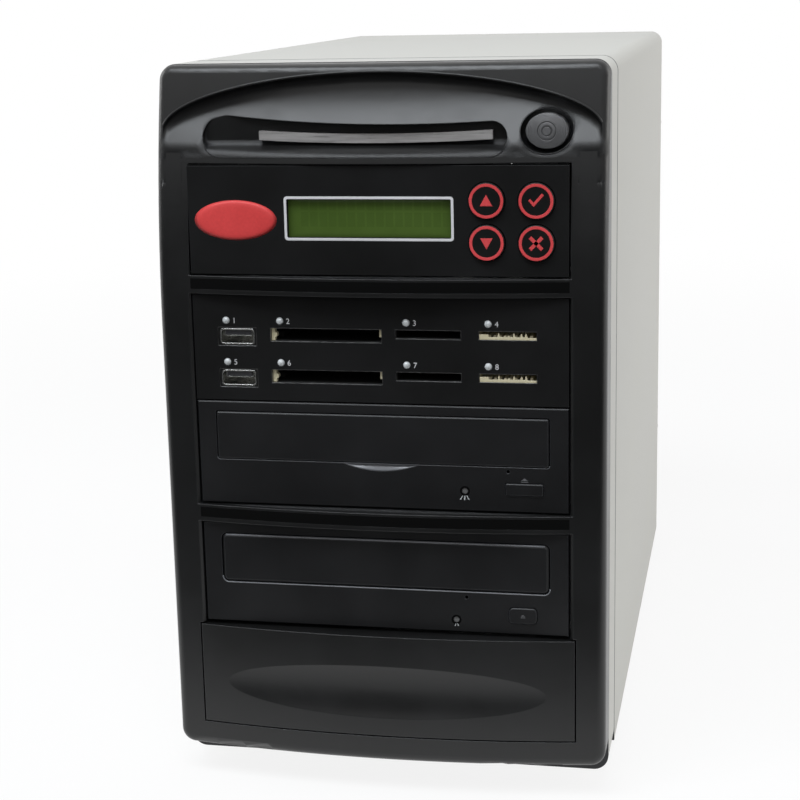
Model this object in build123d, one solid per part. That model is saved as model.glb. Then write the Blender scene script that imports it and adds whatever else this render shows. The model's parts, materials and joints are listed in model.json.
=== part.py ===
"""Disc duplicator tower: steel case, moulded bezel, control panel, card panel and two tray drives.

Millimetres. X to the viewer's right, Y to the back, Z up from the floor. While the pieces are drawn,
Y = 0 is the front plane of the drive panels; save() then moves all of them to the middle of the depth.
"""
from build123d import *
import math
import os

# Case
case_width = 176.5
case_height = 286.0
case_corner = 6.0
sheet = 1.0
collar_depth = 30.0
cover_depth = 310.0
seam_gap = 0.6
lip_reach = 9.0
lip_clear = 0.25
rear_flange = 9.0
flange_height = 24.0
foot_height = 6.0
vent_rows = 4
vent_pitch = 16.0
vent_half = 34.0
foot_radius = 10.0
foot_inset_x = 16.0
foot_inset_y = 22.0
fit_gap = 0.2
thumb_head_radius = 5.5
thumb_head_length = 5.0
thumb_shank_radius = 1.7
thumb_shank_length = 9.0
hole_clear = 0.3

# Bezel
bezel_back = 17.0
bezel_proud = 6.5
bezel_wall = 2.5
bezel_bottom_drop = 8.0
bezel_top_drop = 0.2
bow_half_chord = 86.0
bow_depth = 7.0
lean_radius = 400.0
lean_height = 102.0
ridge_radius = 4.0
brow_half_width = 87.0
brow_rise = 21.7
brow_drop = 24.5
brow_draft = 25.0
brow_plane = 5.0
dish_fillet = 2.0
reveal = 2.6
reveal_depth = 2.4
rib_blade = 1.2
groove_depth = 5.0
lug_width = 10.0
lug_thick = 2.5

# Bays
bay_width = 148.0
bay_height = 42.0
bay_step = 0.6
rib_step = 8.2
blank_step = 1.5
head_height = 38.0
bay_gap = 0.6
blank_width = 152.6
blank_gap = 0.6
scoop_depth = 2.0
scoop_half = 65.5
scoop_height = 22.0

# Smile slot with its light strip, and the power button
slot_left = -69.0
slot_right = 50.5
slot_rise = 3.0
slot_left_height = 15.6
slot_mid_height = 12.2
slot_right_height = 12.9
slot_depth_y = 10.0
slot_floor_rise = 5.0
strip_left = -46.4
strip_right = 44.5
strip_height = 3.5
strip_rise = 10.9
strip_sag = 1.3
strip_front = 7.0
power_x = 65.0
power_rise = 12.1
well_half_width = 10.0
well_half_height = 8.25
button_half_width = 8.0
button_half_height = 6.6
button_gap = 0.4
button_face = 6.0
button_travel = 2.0
stem_reach = 11.0

# Control panel
panel_thick = 2.5
arm_thick = 2.0
arm_depth = 60.0
window_left = -34.7
window_right = 29.4
window_drop = 12.7
window_height = 15.0
key_radius = 6.9
key_columns = (43.0, 61.8)
key_drops = (13.2, 29.1)
key_gap = 0.3
key_proud = 1.5
key_flange = 1.2
key_travel = 1.0
key_stem_gap = 3.0
board_thick = 1.6
board_y = 13.0

# Card panel
lamp_radius = 1.5
lamp_x = (-60.8, -39.1, 11.1, 43.0)
lamp_drop = 10.2
row_drop = 12.8
row_pitch = 16.6
usb_left = -64.4
usb_width = 15.9
usb_height = 7.6
usb_metal = 0.6
usb_tongue = 1.9
wide_left = -43.1
wide_width = 44.7
wide_height = 5.6
small_left = 6.7
small_width = 25.9
small_height = 3.8
stick_left = 39.2
stick_width = 22.7
stick_height = 3.7
socket_depth = 24.0
socket_wall = 1.0
pin_pitch = 1.27

# Drives
drive_depth = 165.5
drive_width = 146.0
drive_height = 41.3
drive_wall = 0.8
drive_front = 3.4
mask_thick = 3.2
door_half_width = 66.2
door_drops = (4.4, 4.8)
door_heights = (19.1, 19.9)
door_gap = 0.4
door_proud = 0.5
door_corners = (0.7, 2.2)
door_bevels = (0.4, 0.9)
tray_width = 129.0
tray_length = 158.0
tray_thick = 6.5
tray_front = 3.2
tray_lift = 1.2
tray_travel = 136.0
pickup_start = 19.0
pickup_length = 24.0
pickup_travel = 34.0
mesh_gap = 1.0
rack_x = -52.0
disc_radius = 60.0
disc_clear = 0.8
disc_recess = 3.0
small_recess_radius = 41.0
small_recess = 1.2
guide_gap = 0.3
eject_x = (56.7, 55.85)
eject_drops = (32.7, 34.15)
eject_widths = (14.8, 11.1)
eject_heights = (4.8, 6.5)
eject_gap = 0.2
eject_travel = 0.8
eject_reach = 7.5
eject_corners = (0.6, 1.8)
drive_lamp_x = (33.3, 29.2)
drive_lamp_drops = (33.9, 36.9)
drive_lamp_radius = 1.2
pinhole_x = (50.3, 33.4)
pinhole_drops = (25.6, 27.4)
spindle_radius = 15.0
hub_radius = 7.3
rack_module = 1.5
rack_height = 2.4
rack_start = 2.0
gear_teeth = 14
gear_thick = 2.6
gear_clear = 0.5
gear_from_mask = 18.0

# Drive cage
rail_gap = 0.5
rail_depth = 178.0
screw_head_radius = 2.8
screw_head = 1.8
screw_radius = 1.4

# Power supply and fans
psu_width = 150.0
psu_height = 86.0
psu_depth = 140.0
psu_drop = 8.0
psu_margin = 10.5
psu_edge = 3.0
fan_size = 80.0
fan_depth = 25.0
fan_tip_gap = 1.0
fan_x = -24.0
hub_half = 16.0
blade_count = 7
wire = 0.8
guard_rings = (12.0, 20.0, 28.0, 36.0)
inlet_x = 42.0
inlet_lift = 16.0
rocker_drop = 20.0
rocker_angle = 8.0
case_fan_height = 104.0

# Derived places
case_bottom = foot_height
case_top = case_bottom + case_height
half_case = case_width / 2
cover_front = bezel_back + collar_depth
cover_back = cover_front + cover_depth
rear_plane = cover_back - sheet
bezel_bottom = case_bottom + bezel_bottom_drop
bezel_top = case_top - bezel_top_drop
bezel_front = -bezel_proud
bow_radius = (bow_half_chord**2 + bow_depth**2) / (2 * bow_depth)
lean_start = bezel_top - lean_height
lean_top = bezel_front + lean_radius - math.sqrt(lean_radius**2 - lean_height**2)
control_top = case_top - head_height
card_top = control_top - bay_height - rib_step
drive_tops = (card_top - bay_height - bay_step, card_top - 2 * bay_height - bay_step - rib_step)
blank_top = drive_tops[1] - bay_height - blank_step
brow_centre = case_top - brow_drop
power_z = control_top + power_rise
rear_most = cover_back + sheet + thumb_head_length
middle_y = (bezel_front + rear_most) / 2
rail_inner = drive_width / 2 + rail_gap
psu_top = case_top - sheet - psu_drop
psu_bottom = psu_top - psu_height
psu_front = rear_plane - psu_depth
fan_z = psu_bottom + psu_height / 2
inlet_z = fan_z + inlet_lift
rocker_z = fan_z - rocker_drop
foot_x = half_case - foot_inset_x
foot_ys = (cover_front + foot_inset_y, cover_back - foot_inset_y)
disc_y = tray_front + 6.0 + disc_radius + disc_clear


def block(x0, x1, y0, y1, z0, z1):
    """A box between two values on each axis."""
    return Pos((x0 + x1) / 2, (y0 + y1) / 2, (z0 + z1) / 2) * Box(x1 - x0, y1 - y0, z1 - z0)


def rod_x(y, z, radius, x0, x1):
    return Pos((x0 + x1) / 2, y, z) * Rot(0, 90, 0) * Cylinder(radius, x1 - x0)


def rod_y(x, z, radius, y0, y1):
    return Pos(x, (y0 + y1) / 2, z) * Rot(90, 0, 0) * Cylinder(radius, y1 - y0)


def rod_z(x, y, radius, z0, z1):
    return Pos(x, y, (z0 + z1) / 2) * Cylinder(radius, z1 - z0)


def front_plane(y):
    """The plane at depth y whose drawing axes are X and Z, as seen from the front."""
    return Plane(origin=(0, y, 0), x_dir=(1, 0, 0), z_dir=(0, -1, 0))


def slab(sketch, y0, y1):
    """A drawing in X and Z given a thickness from y0 back to y1."""
    return extrude(front_plane(y1) * sketch, y1 - y0)


def bowed(face, half_angle=12):
    """A Y-Z section turned about the far upright axis that gives the front its bow."""
    axis = Axis((0, bezel_front + bow_radius, 0), (0, 0, 1))
    return revolve(Plane.YZ * face, axis, 2 * half_angle).rotate(axis, -half_angle)


def polygon(*points):
    return make_face(Polyline(*points, close=True))


def mirrored(solid):
    return [solid, mirror(solid, Plane.YZ)]


def case_outline(inset, bottom, top):
    """The case seen from the front, drawn in by an inset, between two heights."""
    corner = max(case_corner - inset, 0.5)
    middle = (top + bottom) / 2
    return Pos(0, middle) * RectangleRounded(case_width - 2 * inset, top - bottom, corner)


def ring(inset, wall, y0, y1):
    """A folded sheet ring that follows the case outline."""
    outer = case_outline(inset, case_bottom + inset, case_top - inset)
    both = inset + wall
    inner = case_outline(both, case_bottom + both, case_top - both)
    return slab(outer - inner, y0, y1)


def side_profile(extra):
    """The Y-Z section of the bezel's front, moved back by extra and running far behind it."""
    far = 60.0
    y0 = bezel_front + extra
    bottom = bezel_bottom + extra
    lean = TangentArc((y0, lean_start), (lean_top + extra, bezel_top), tangent=(0, 1))
    edges = Line((y0, bottom), (y0, lean_start)) + lean
    edges += Line((lean_top + extra, bezel_top), (far, bezel_top))
    edges += Line((far, bezel_top), (far, bottom)) + Line((far, bottom), (y0, bottom))
    return make_face(edges)


def dish_points(extra):
    """The hollow's floor in Y and Z: it leaves the front above the controls and leans back."""
    rise = ((-7, -4.75), (0, -3.3), (5, -1.2), (15, 4.4), (24, 9.2), (30.5, 11.4))
    return [(y + extra, control_top + z) for z, y in rise]


def dish_cutter():
    """The eyebrow-shaped hollow of the bezel's head: an elliptical outline with draft."""
    spread = math.tan(math.radians(brow_draft))
    low = control_top - 14

    def brow(y):
        grow = (brow_plane - y) * spread
        a, b = brow_half_width + grow, brow_rise + grow
        edges = EllipticalCenterArc((0, brow_centre), a, b, start_angle=0, arc_size=180)
        edges += Line((-a, brow_centre), (-a, low)) + Line((-a, low), (a, low))
        edges += Line((a, low), (a, brow_centre))
        return front_plane(y) * make_face(edges)

    outline = loft([brow(brow_plane - 20), brow(brow_plane + 11)], ruled=True)
    points = dish_points(0)
    near, top = brow_plane - 45, case_top + 3
    edges = Spline(*points) + Line(points[-1], (points[-1][0], top))
    edges += Line((points[-1][0], top), (near, top)) + Line((near, top), (near, points[0][1]))
    edges += Line((near, points[0][1]), points[0])
    cutter = outline & bowed(make_face(edges))
    inner = [e for e in cutter.edges() if e.center().Y > 3 and e.center().Z > control_top + 8]
    return fillet(inner, dish_fillet)


def slot_outline(grow):
    """The smile slot seen from the front: straight lower lip, sagging upper edge, round ends."""
    low = control_top + slot_rise - grow
    left, right = slot_left - grow, slot_right + grow
    up = slot_rise + control_top + grow
    left_r = (slot_left_height + 2 * grow) / 2
    right_r = (slot_right_height + 2 * grow) / 2
    left_top = (left + left_r, up + slot_left_height)
    right_top = (right - right_r, up + slot_right_height)
    mid_top = ((left + right) / 2, up + slot_mid_height)
    edges = Line((left + left_r, low), (right - right_r, low))
    edges += ThreePointArc((right - right_r, low), (right, low + right_r), right_top)
    edges += ThreePointArc(right_top, mid_top, left_top)
    edges += ThreePointArc(left_top, (left, low + left_r), (left + left_r, low))
    return make_face(edges)


def strip_outline(grow):
    """The light strip seen from the front, sagging in the middle."""
    low = control_top + strip_rise - strip_height / 2 - grow
    high = low + strip_height + 2 * grow
    left, right = strip_left - grow, strip_right + grow
    middle = (left + right) / 2
    edges = ThreePointArc((left, low), (middle, low - strip_sag), (right, low))
    edges += Line((right, low), (right, high))
    edges += ThreePointArc((right, high), (middle, high - strip_sag), (left, high))
    edges += Line((left, high), (left, low))
    return make_face(edges)


def power_ellipse(half_width, half_height):
    return Pos(power_x, power_z) * Ellipse(half_width, half_height)


bay_half = bay_width / 2 + bay_gap
openings = (
    (control_top - bay_height - bay_gap, control_top + bay_gap, bay_half),
    (drive_tops[0] - bay_height - bay_gap, card_top + bay_gap, bay_half),
    (drive_tops[1] - bay_height - blank_step / 2, drive_tops[1] + bay_gap, bay_half),
    (blank_top - bay_height - blank_gap, blank_top + blank_step / 2, blank_width / 2 + blank_gap),
)


def front_bezel():
    """One moulding: bowed shell, eyebrow hollow, smile slot, power well, bay frames and ribs."""
    profile = bowed(side_profile(0))
    body = profile & slab(case_outline(0, bezel_bottom, bezel_top), bezel_front - 5, bezel_back)
    rim = [
        e
        for e in body.edges()
        if e.center().Y < bezel_back - 0.1
        and abs((e @ 0).Y - (e @ 1).Y) < 0.9 * e.length
        and not (abs(e.center().X) < 1 and bezel_bottom + 1 < e.center().Z < bezel_top - 1)
    ]
    body = fillet(rim, ridge_radius) - dish_cutter()

    wall = bezel_wall
    points = dish_points(wall)
    start = (bezel_front + wall, bezel_bottom + wall)
    high = bezel_top - wall
    far = 60.0
    core = [start, (start[0], lean_start), *points, (far, high), (far, start[1])]
    pocket = case_outline(wall, bezel_bottom + wall, high)
    shell = body - (bowed(polygon(*core)) & slab(pocket, bezel_front - 5, far))

    frames = [
        block(-half - wall, half + wall, bezel_front - 5, bezel_back, low - wall, high + wall)
        for low, high, half in openings
    ]
    frames.append(slab(slot_outline(wall), bezel_front, slot_depth_y + wall))
    frames.append(slab(power_ellipse(well_half_width + wall, well_half_height + wall), 0, bezel_back - 3))
    supports = (frames[0] + frames[1:]) & body
    bezel = shell + supports

    for low, high, half in openings:
        bezel -= block(-half, half, bezel_front - 5, bezel_back + 5, low, high)
        flare = min(reveal, blank_width / 2 + blank_gap - half)
        if flare > 0.1:
            wedge = polygon(
                (-half - flare, bezel_front - 5),
                (half + flare, bezel_front - 5),
                (half + flare, -reveal_depth),
                (half, 0),
                (-half, 0),
                (-half - flare, -reveal_depth),
            )
            bezel -= Pos(0, 0, low) * extrude(wedge, high - low)
    for upper, lower in ((openings[0], openings[1]), (openings[1], openings[2])):
        high, low = upper[0] - rib_blade, lower[1] + rib_blade + 0.7
        groove = block(-bay_half, bay_half, bezel_front - 5, groove_depth - bezel_proud, low, high)
        bezel -= groove

    lip = control_top + slot_rise
    hollow = slab(slot_outline(0), bezel_front - 5, slot_depth_y)
    ramp = polygon(
        (bezel_front - 6, lip - 8),
        (slot_depth_y + 1, lip - 8),
        (slot_depth_y + 1, lip + slot_floor_rise),
        (bezel_front + 4, lip),
        (bezel_front - 6, lip - 2),
    )
    hollow -= extrude(Plane.YZ * ramp, half_case, both=True)
    bezel -= hollow
    bezel -= slab(strip_outline(fit_gap), strip_front, bezel_back)
    bezel -= slab(power_ellipse(well_half_width, well_half_height), bezel_front, bezel_back - 5)
    gap = button_gap
    bezel -= slab(power_ellipse(button_half_width + gap, button_half_height + gap), 0, bezel_back)

    for x, z in lug_places():
        bezel += block(x - lug_width / 2, x + lug_width / 2, bezel_back - 6, bezel_back + 4, z, z + lug_thick)
        tip = bezel_back + sheet + hole_clear
        bezel += block(x - lug_width / 2, x + lug_width / 2, tip, tip + 2, z - 1, z + lug_thick)
    return bezel


def lug_places():
    """Snap lugs: three on the bottom frame of the bezel."""
    low = openings[3][0] - bezel_wall
    return [(x, low) for x in (-50.0, 0.0, 50.0)]


def front_frame():
    """Steel collar behind the bezel, with the plate that the bezel clips to."""
    collar = ring(0, sheet, bezel_back, cover_front - seam_gap)
    plate = slab(case_outline(sheet / 2, case_bottom + sheet / 2, case_top - sheet / 2), bezel_back, bezel_back + sheet)
    edge = blank_width / 2 + 1.5
    plate -= block(-edge, edge, bezel_back - 1, bezel_back + 2, openings[3][0] - 1, control_top + 2)
    well = power_ellipse(button_half_width + 3, button_half_height + 3)
    plate -= slab(well, bezel_back - 1, bezel_back + 2)
    for x, z in lug_places():
        half = lug_width / 2 + hole_clear
        plate -= block(x - half, x + half, bezel_back - 1, bezel_back + 2, z - 1.5, z + lug_thick + 1.5)
    inset = sheet + lip_clear
    step = ring(0, inset + sheet, cover_front - seam_gap - sheet, cover_front - seam_gap)
    lip = ring(inset, sheet, cover_front - seam_gap - sheet, cover_front + lip_reach)
    return collar + plate + step + lip


def base_tray():
    """Folded floor with upright sides and the holes for the feet and the drive cage."""
    half = half_case - sheet - fit_gap
    tray = block(-half, half, cover_front, cover_back, case_bottom, case_bottom + sheet)
    back = cover_front + lip_reach + 0.5
    for side in mirrored(block(half - sheet, half, back, cover_back - sheet, case_bottom, case_bottom + flange_height)):
        tray += side
    for y in foot_ys:
        for x in (-foot_x, foot_x):
            tray -= rod_z(x, y, screw_radius + hole_clear, case_bottom - 1, case_bottom + 2)
    for row in range(vent_rows):
        y = (cover_front + cover_back) / 2 + vent_pitch * (row - (vent_rows - 1) / 2)
        tray -= block(-vent_half, vent_half, y - 2.5, y + 2.5, case_bottom - 1, case_bottom + 2)
    return tray


def wrap_cover():
    """Painted cover folded in a U over the chassis, with its turned-in rear edge."""
    outer = case_outline(0, case_bottom - 2 * case_corner, case_top)
    inner = case_outline(sheet, case_bottom - 3 * case_corner, case_top - sheet)
    under = block(-half_case - 1, half_case + 1, cover_front - 1, cover_back + 5, -50, case_bottom)
    shell = slab(outer - inner, cover_front, cover_back + sheet)
    window = case_outline(rear_flange, case_bottom - 4 * case_corner, case_top - rear_flange)
    turned = slab(outer - window, cover_back, cover_back + sheet)
    cover = shell + turned - under
    for x, z in thumb_places():
        cover -= rod_y(x, z, thumb_shank_radius + hole_clear, cover_back - 1, cover_back + 2)
    return cover


def thumb_places():
    x = half_case - 5.5
    return [(side * x, z) for side in (-1, 1) for z in (case_bottom + 60, case_top - 50)]


def thumbscrews():
    """Knurled screws that hold the cover to the rear panel."""
    screws = []
    for x, z in thumb_places():
        tip = cover_back + sheet
        head = Pos(x, tip, z) * Rot(-90, 0, 0) * extrude(
            RegularPolygon(thumb_head_radius, 16), thumb_head_length
        )
        screws.append(head + rod_y(x, z, thumb_shank_radius, tip - thumb_shank_length, tip))
    return screws


def rear_panel():
    """Folded rear wall with the power supply opening, the fan slots and its side flanges."""
    half = half_case - sheet - fit_gap - sheet - 0.05
    low = case_bottom + sheet
    high = case_top - sheet - fit_gap
    panel = block(-half, half, rear_plane, cover_back, low, high)
    upper = panel.edges().filter_by(Axis.Y).group_by(Axis.Z)[-1]
    panel = fillet(upper, case_corner - sheet)
    for side in mirrored(block(half - sheet, half, rear_plane - 14, rear_plane, low, high - case_corner)):
        panel += side
    panel += block(-half, half, rear_plane - 14, rear_plane, low, low + sheet)
    margin = psu_margin
    opening = block(
        -psu_width / 2 + margin, psu_width / 2 - margin,
        rear_plane - 1, cover_back + 1,
        psu_bottom + psu_edge, psu_top - psu_edge,
    )
    panel -= fillet(opening.edges().filter_by(Axis.Y), 2)
    for x, z in psu_screw_places():
        panel -= rod_y(x, z, screw_radius + hole_clear, rear_plane - 1, cover_back + 1)
    for x, z in thumb_places():
        panel -= rod_y(x, z, thumb_shank_radius + hole_clear, rear_plane - 20, cover_back + 1)
    for x, z in fan_screw_places(0, case_fan_height):
        panel -= rod_y(x, z, screw_radius + hole_clear, rear_plane - 1, cover_back + 1)
    pitch = 8.0
    for ring_index in range(1, 5):
        radius = pitch * ring_index + 2
        for turn in range(4):
            band = slot_arc(radius, 5.0, 90 * turn + 8, 74)
            panel -= slab(Pos(0, case_fan_height) * band, rear_plane - 1, cover_back + 1)
    return panel


def slot_arc(radius, width, start, size):
    """A curved slot of a stamped fan guard."""
    outer, inner = radius + width / 2, radius - width / 2
    arc_out = CenterArc((0, 0), outer, start, size)
    arc_in = CenterArc((0, 0), inner, start, size)
    return make_face(arc_out + Line(arc_out @ 1, arc_in @ 1) + arc_in + Line(arc_in @ 0, arc_out @ 0))


def psu_screw_places():
    x = psu_width / 2 - psu_margin / 2
    return [(side * x, z) for side in (-1, 1) for z in (psu_bottom + 8, psu_top - 8)]


def fan_screw_places(x, z):
    reach = fan_size / 2 - 4.25
    return [(x + sx * reach, z + sz * reach) for sx in (-1, 1) for sz in (-1, 1)]


def cage_screw_places():
    """Two screws a side for each drive and each panel unit: depth and height."""
    places = []
    for top in (control_top, card_top):
        places += [(y, top - bay_height / 2) for y in (30.0, 48.0)]
    for top in drive_tops:
        places += [(y, top - bay_height + 10) for y in (52.0, 131.0)]
    return places


def bay_rail(side):
    """Side plate of the drive cage, with its screw holes and its front and floor flanges."""
    x0 = rail_inner
    x1 = rail_inner + sheet
    y0 = bezel_back + sheet
    low = case_bottom + sheet
    over_lip = low + lip_clear + sheet + fit_gap
    clear_y = cover_front + lip_reach + 1
    rail = block(x0, x1, y0, y0 + rail_depth, over_lip, control_top)
    rail += block(x0, x1, clear_y, y0 + rail_depth, low, over_lip)
    rail += block(x0, half_case - sheet - 1, y0, y0 + sheet, low + case_corner, control_top)
    rail += block(x0, x1 + 8, clear_y, y0 + rail_depth, low, low + sheet)
    for y, z in cage_screw_places():
        rail -= rod_x(y, z, screw_radius + hole_clear, x0 - 1, x1 + 1)
    for z in (control_top - 25, card_top - 25, drive_tops[1] - 62):
        rail -= block(x0 - 1, x1 + 1, y0 + 70, y0 + 150, z - 12, z + 12)
    return rail if side > 0 else mirror(rail, Plane.YZ)


def chassis_screws():
    """Pan-head screws: drive cage, power supply and case fan."""
    screws = []
    for y, z in cage_screw_places():
        x = rail_inner + sheet
        one = rod_x(y, z, screw_head_radius, x, x + screw_head) + rod_x(y, z, screw_radius, x - 4, x)
        screws += mirrored(one)
    ends = psu_screw_places() + fan_screw_places(0, case_fan_height)
    for x, z in ends:
        head = rod_y(x, z, screw_head_radius, cover_back, cover_back + screw_head)
        screws.append(head + rod_y(x, z, screw_radius, cover_back - 6, cover_back))
    return screws


def feet():
    """Rubber feet, dished underneath round their screws."""
    half = Polyline((2.0, 0), (foot_radius - 1.5, 0), (foot_radius, foot_height), (2.0, foot_height), close=True)
    one = revolve(Plane.XZ * make_face(half), Axis.Z)
    one -= rod_z(0, 0, 4.5, -1, 3)
    return [Pos(x, y, 0) * one for x in (-foot_x, foot_x) for y in foot_ys]


def bay_blank():
    """Push-in cover of the empty bay: bowed face with a long scoop, side walls and snap arms."""
    half = blank_width / 2
    low = blank_top - bay_height
    depth = 3.0
    section = polygon(
        (bezel_front, low), (bezel_back - 3, low), (bezel_back - 3, blank_top), (bezel_front, blank_top)
    )
    body = bowed(section) & block(-half, half, bezel_front - 1, bezel_back - 3, low, blank_top)
    inner = polygon(
        (bezel_front + depth, low + 2), (bezel_back, low + 2),
        (bezel_back, blank_top - 2), (bezel_front + depth, blank_top - 2),
    )
    body -= bowed(inner) & block(-half + 2, half - 2, bezel_front, bezel_back + 2, low, blank_top)
    flat = scoop_half**2 / (2 * bow_radius) - scoop_depth
    groove_radius = scoop_half**2 / (2 * flat)
    round_radius = ((scoop_height / 2) ** 2 + scoop_depth**2) / (2 * scoop_depth)
    deepest = bezel_front + scoop_depth
    centre_z = low + bay_height * 0.44
    axis = Axis((0, deepest + groove_radius, 0), (0, 0, 1))
    circle = Plane.YZ * (Pos(deepest - round_radius, centre_z) * Circle(round_radius))
    body -= revolve(circle, axis, 12).rotate(axis, -6)
    arm = block(half - 14, half - 6, bezel_back - 5, bezel_back + 3, low + 2, low + 4)
    arm += block(half - 14, half - 6, bezel_back + 1.5, bezel_back + 3, low + 1, low + 2)
    for one in mirrored(arm):
        body += one
    return body


def light_strip():
    """Clear acrylic light strip, held in the back wall of the slot."""
    return slab(strip_outline(0), strip_front, slot_depth_y + bezel_wall)


def power_button():
    """Domed oval cap with turned rings, a flange behind the well and a round stem."""
    flange_front = bezel_back - 3 + 0.2
    cap = slab(power_ellipse(button_half_width, button_half_height), button_face, flange_front)
    bulge = 1.4
    reach = button_half_width
    dome_radius = (reach**2 + bulge**2) / (2 * bulge)
    cap &= Pos(power_x, button_face + dome_radius, power_z) * Sphere(dome_radius)
    cap += slab(power_ellipse(button_half_width, button_half_height), button_face + bulge, flange_front)
    for radius in (2.0, 3.6, 5.2):
        cap -= rod_y(power_x, power_z, radius, 0, button_face + 0.55) - rod_y(
            power_x, power_z, radius - 0.4, -1, button_face + 2
        )
    cap += slab(power_ellipse(button_half_width + 1.6, button_half_height + 1.6), flange_front, flange_front + 1.2)
    return cap + rod_y(power_x, power_z, 3.0, flange_front + 1.2, bezel_back + stem_reach)


def power_switch():
    """Switch body behind the frame plate, with the seat of the button's spring."""
    y0 = bezel_back + sheet
    body = block(power_x - 13, power_x + 13, y0, y0 + 4, power_z - 11, power_z + 11)
    body += block(power_x - 8, power_x + 8, y0 + 4, y0 + 19, power_z - 7, power_z + 7)
    body -= rod_y(power_x, power_z, 6.2, y0 - 1, y0 + 5)
    body -= rod_y(power_x, power_z, 3.3, y0, bezel_back + stem_reach + 2 * button_travel)
    return body


def button_spring():
    """Coil spring between the button's flange and the switch."""
    start = bezel_back - 3 + 0.2 + 1.2 + 0.45
    stop = bezel_back + sheet + 5 - 0.45
    coil = Helix(pitch=(stop - start) / 4, height=stop - start, radius=4.8)
    section = Plane(coil @ 0, z_dir=coil % 0) * Circle(0.4)
    spring = sweep(section, path=coil)
    return Pos(power_x, start, power_z) * Rot(-90, 0, 0) * spring


def panel_unit(top):
    """Flat bay panel with two side arms that are screwed into the cage."""
    low = top - bay_height
    half = bay_width / 2
    panel = block(-half, half, 0, panel_thick, low, top)
    outer = drive_width / 2
    arm = block(outer - arm_thick, outer, panel_thick, arm_depth, low + 2, top - 2)
    arm += block(outer - arm_thick - 1, outer - arm_thick, panel_thick, panel_thick + 1, low + 2, top - 2)
    for one in mirrored(arm):
        panel += one
    return panel


def drill_arms(body, top):
    for y, z in cage_screw_places():
        if abs(z - (top - bay_height / 2)) < 1:
            body -= rod_x(y, z, screw_radius + hole_clear, -half_case, half_case)
    return body


def key_places():
    return [(x, control_top - drop) for x in key_columns for drop in key_drops]


def control_panel():
    """Panel of the controller: display window, four key holes and posts for the board."""
    panel = panel_unit(control_top)
    low = control_top - window_drop - window_height
    panel -= block(window_left, window_right, -1, panel_thick + 1, low, control_top - window_drop)
    for x, z in key_places():
        panel -= rod_y(x, z, key_radius + key_gap, -1, panel_thick + 1)
    for x in (-68.0, 52.4):
        for z in (control_top - 6, control_top - bay_height + 6):
            panel += rod_y(x, z, 2.5, panel_thick, board_y)
    return drill_arms(panel, control_top)


def display_module():
    """Liquid crystal display: glass in a steel frame on its own board."""
    low = control_top - window_drop - window_height
    high = control_top - window_drop
    back = panel_thick + 6.5
    frame = block(window_left - 2, window_right + 2, panel_thick, back, low - 4, high + 4)
    board = block(window_left - 7, window_right + 4, back, back + board_thick, low - 9, high + 9)
    return [frame + board]


def control_board():
    """Controller board with the key switches, its processor and the data sockets."""
    half = drive_width / 2 - arm_thick - 0.5
    low = control_top - bay_height + 2.5
    board = block(-half, half, board_y, board_y + board_thick, low, control_top - 2.5)
    for x, z in key_places():
        switch = block(x - 4, x + 4, board_y - 6, board_y, z - 4, z + 4)
        board += switch - rod_y(x, z, 2.8, board_y - 7, board_y - key_stem_gap + 2 * key_travel)
    board += block(-30, -2, board_y + board_thick, board_y + board_thick + 3, low + 5, low + 33)
    for column in range(4):
        x = 12 + 12 * column
        board += block(x, x + 9, board_y + board_thick, board_y + board_thick + 8, low + 6, low + 22)
    return board


def key(x, z):
    """Round plunger key: proud cap with a softened rim, flange behind the panel, stem."""
    cap = rod_y(x, z, key_radius, -key_proud, panel_thick + key_gap)
    cap = chamfer(cap.edges().filter_by(lambda e: e.center().Y < -key_proud + 0.1), 0.5)
    back = panel_thick + key_gap
    flange = rod_y(x, z, key_radius + 0.9, back, back + key_flange)
    return cap + flange + rod_y(x, z, 2.5, back + key_flange, board_y - key_stem_gap)


def card_rows():
    return [card_top - row_drop - row_pitch * row for row in range(2)]


def card_panel():
    """Panel of the card reader with its lamp holes and the mouths of eight sockets."""
    panel = panel_unit(card_top)
    mouths = (
        (usb_left, usb_width, usb_height),
        (wide_left, wide_width, wide_height),
        (small_left, small_width, small_height),
        (stick_left, stick_width, stick_height),
    )
    for top in card_rows():
        for left, width, height in mouths:
            panel -= block(left, left + width, -1, panel_thick + 1, top - height, top)
        for x in lamp_x:
            panel -= rod_y(x, top + row_drop - lamp_drop, lamp_radius + 0.1, -1, panel_thick + 1)
    inner = drive_width / 2 - arm_thick
    for top in card_rows():
        ledge = block(inner - 5, inner, panel_thick + 4, arm_depth, top - 12.4, top - 10.9)
        for one in mirrored(ledge):
            panel += one
    return drill_arms(panel, card_top)


def card_lamps():
    """Eight clear lamps of the card panel."""
    lamps = []
    for top in card_rows():
        z = top + row_drop - lamp_drop
        for x in lamp_x:
            lens = rod_y(x, z, lamp_radius, 0.6, panel_thick + 5) + Pos(x, 0.6, z) * Sphere(lamp_radius)
            lamps.append(lens)
    return lamps


def card_boards():
    """Two boards, one under each row of sockets, resting on the arms' ledges."""
    half = drive_width / 2 - arm_thick - 0.5
    boards = []
    for top in card_rows():
        floor = top - 10.9
        boards.append(block(-half, half, panel_thick + 1.5, arm_depth - 4, floor, floor + board_thick))
    return boards


def socket(left, width, height, top):
    """A steel-shelled card socket, open at the front, standing on its board."""
    floor = top - 10.9 + board_thick
    y0 = panel_thick + 0.1
    right = left + width
    wall = socket_wall
    body = block(left - wall, right + wall, y0, y0 + socket_depth, floor, top + wall)
    back = y0 + socket_depth - 3
    mouth = block(left + 0.4, right - 0.4, y0 - 1, back, top - height + 0.3, top - 0.3)
    return body - mouth


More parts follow.
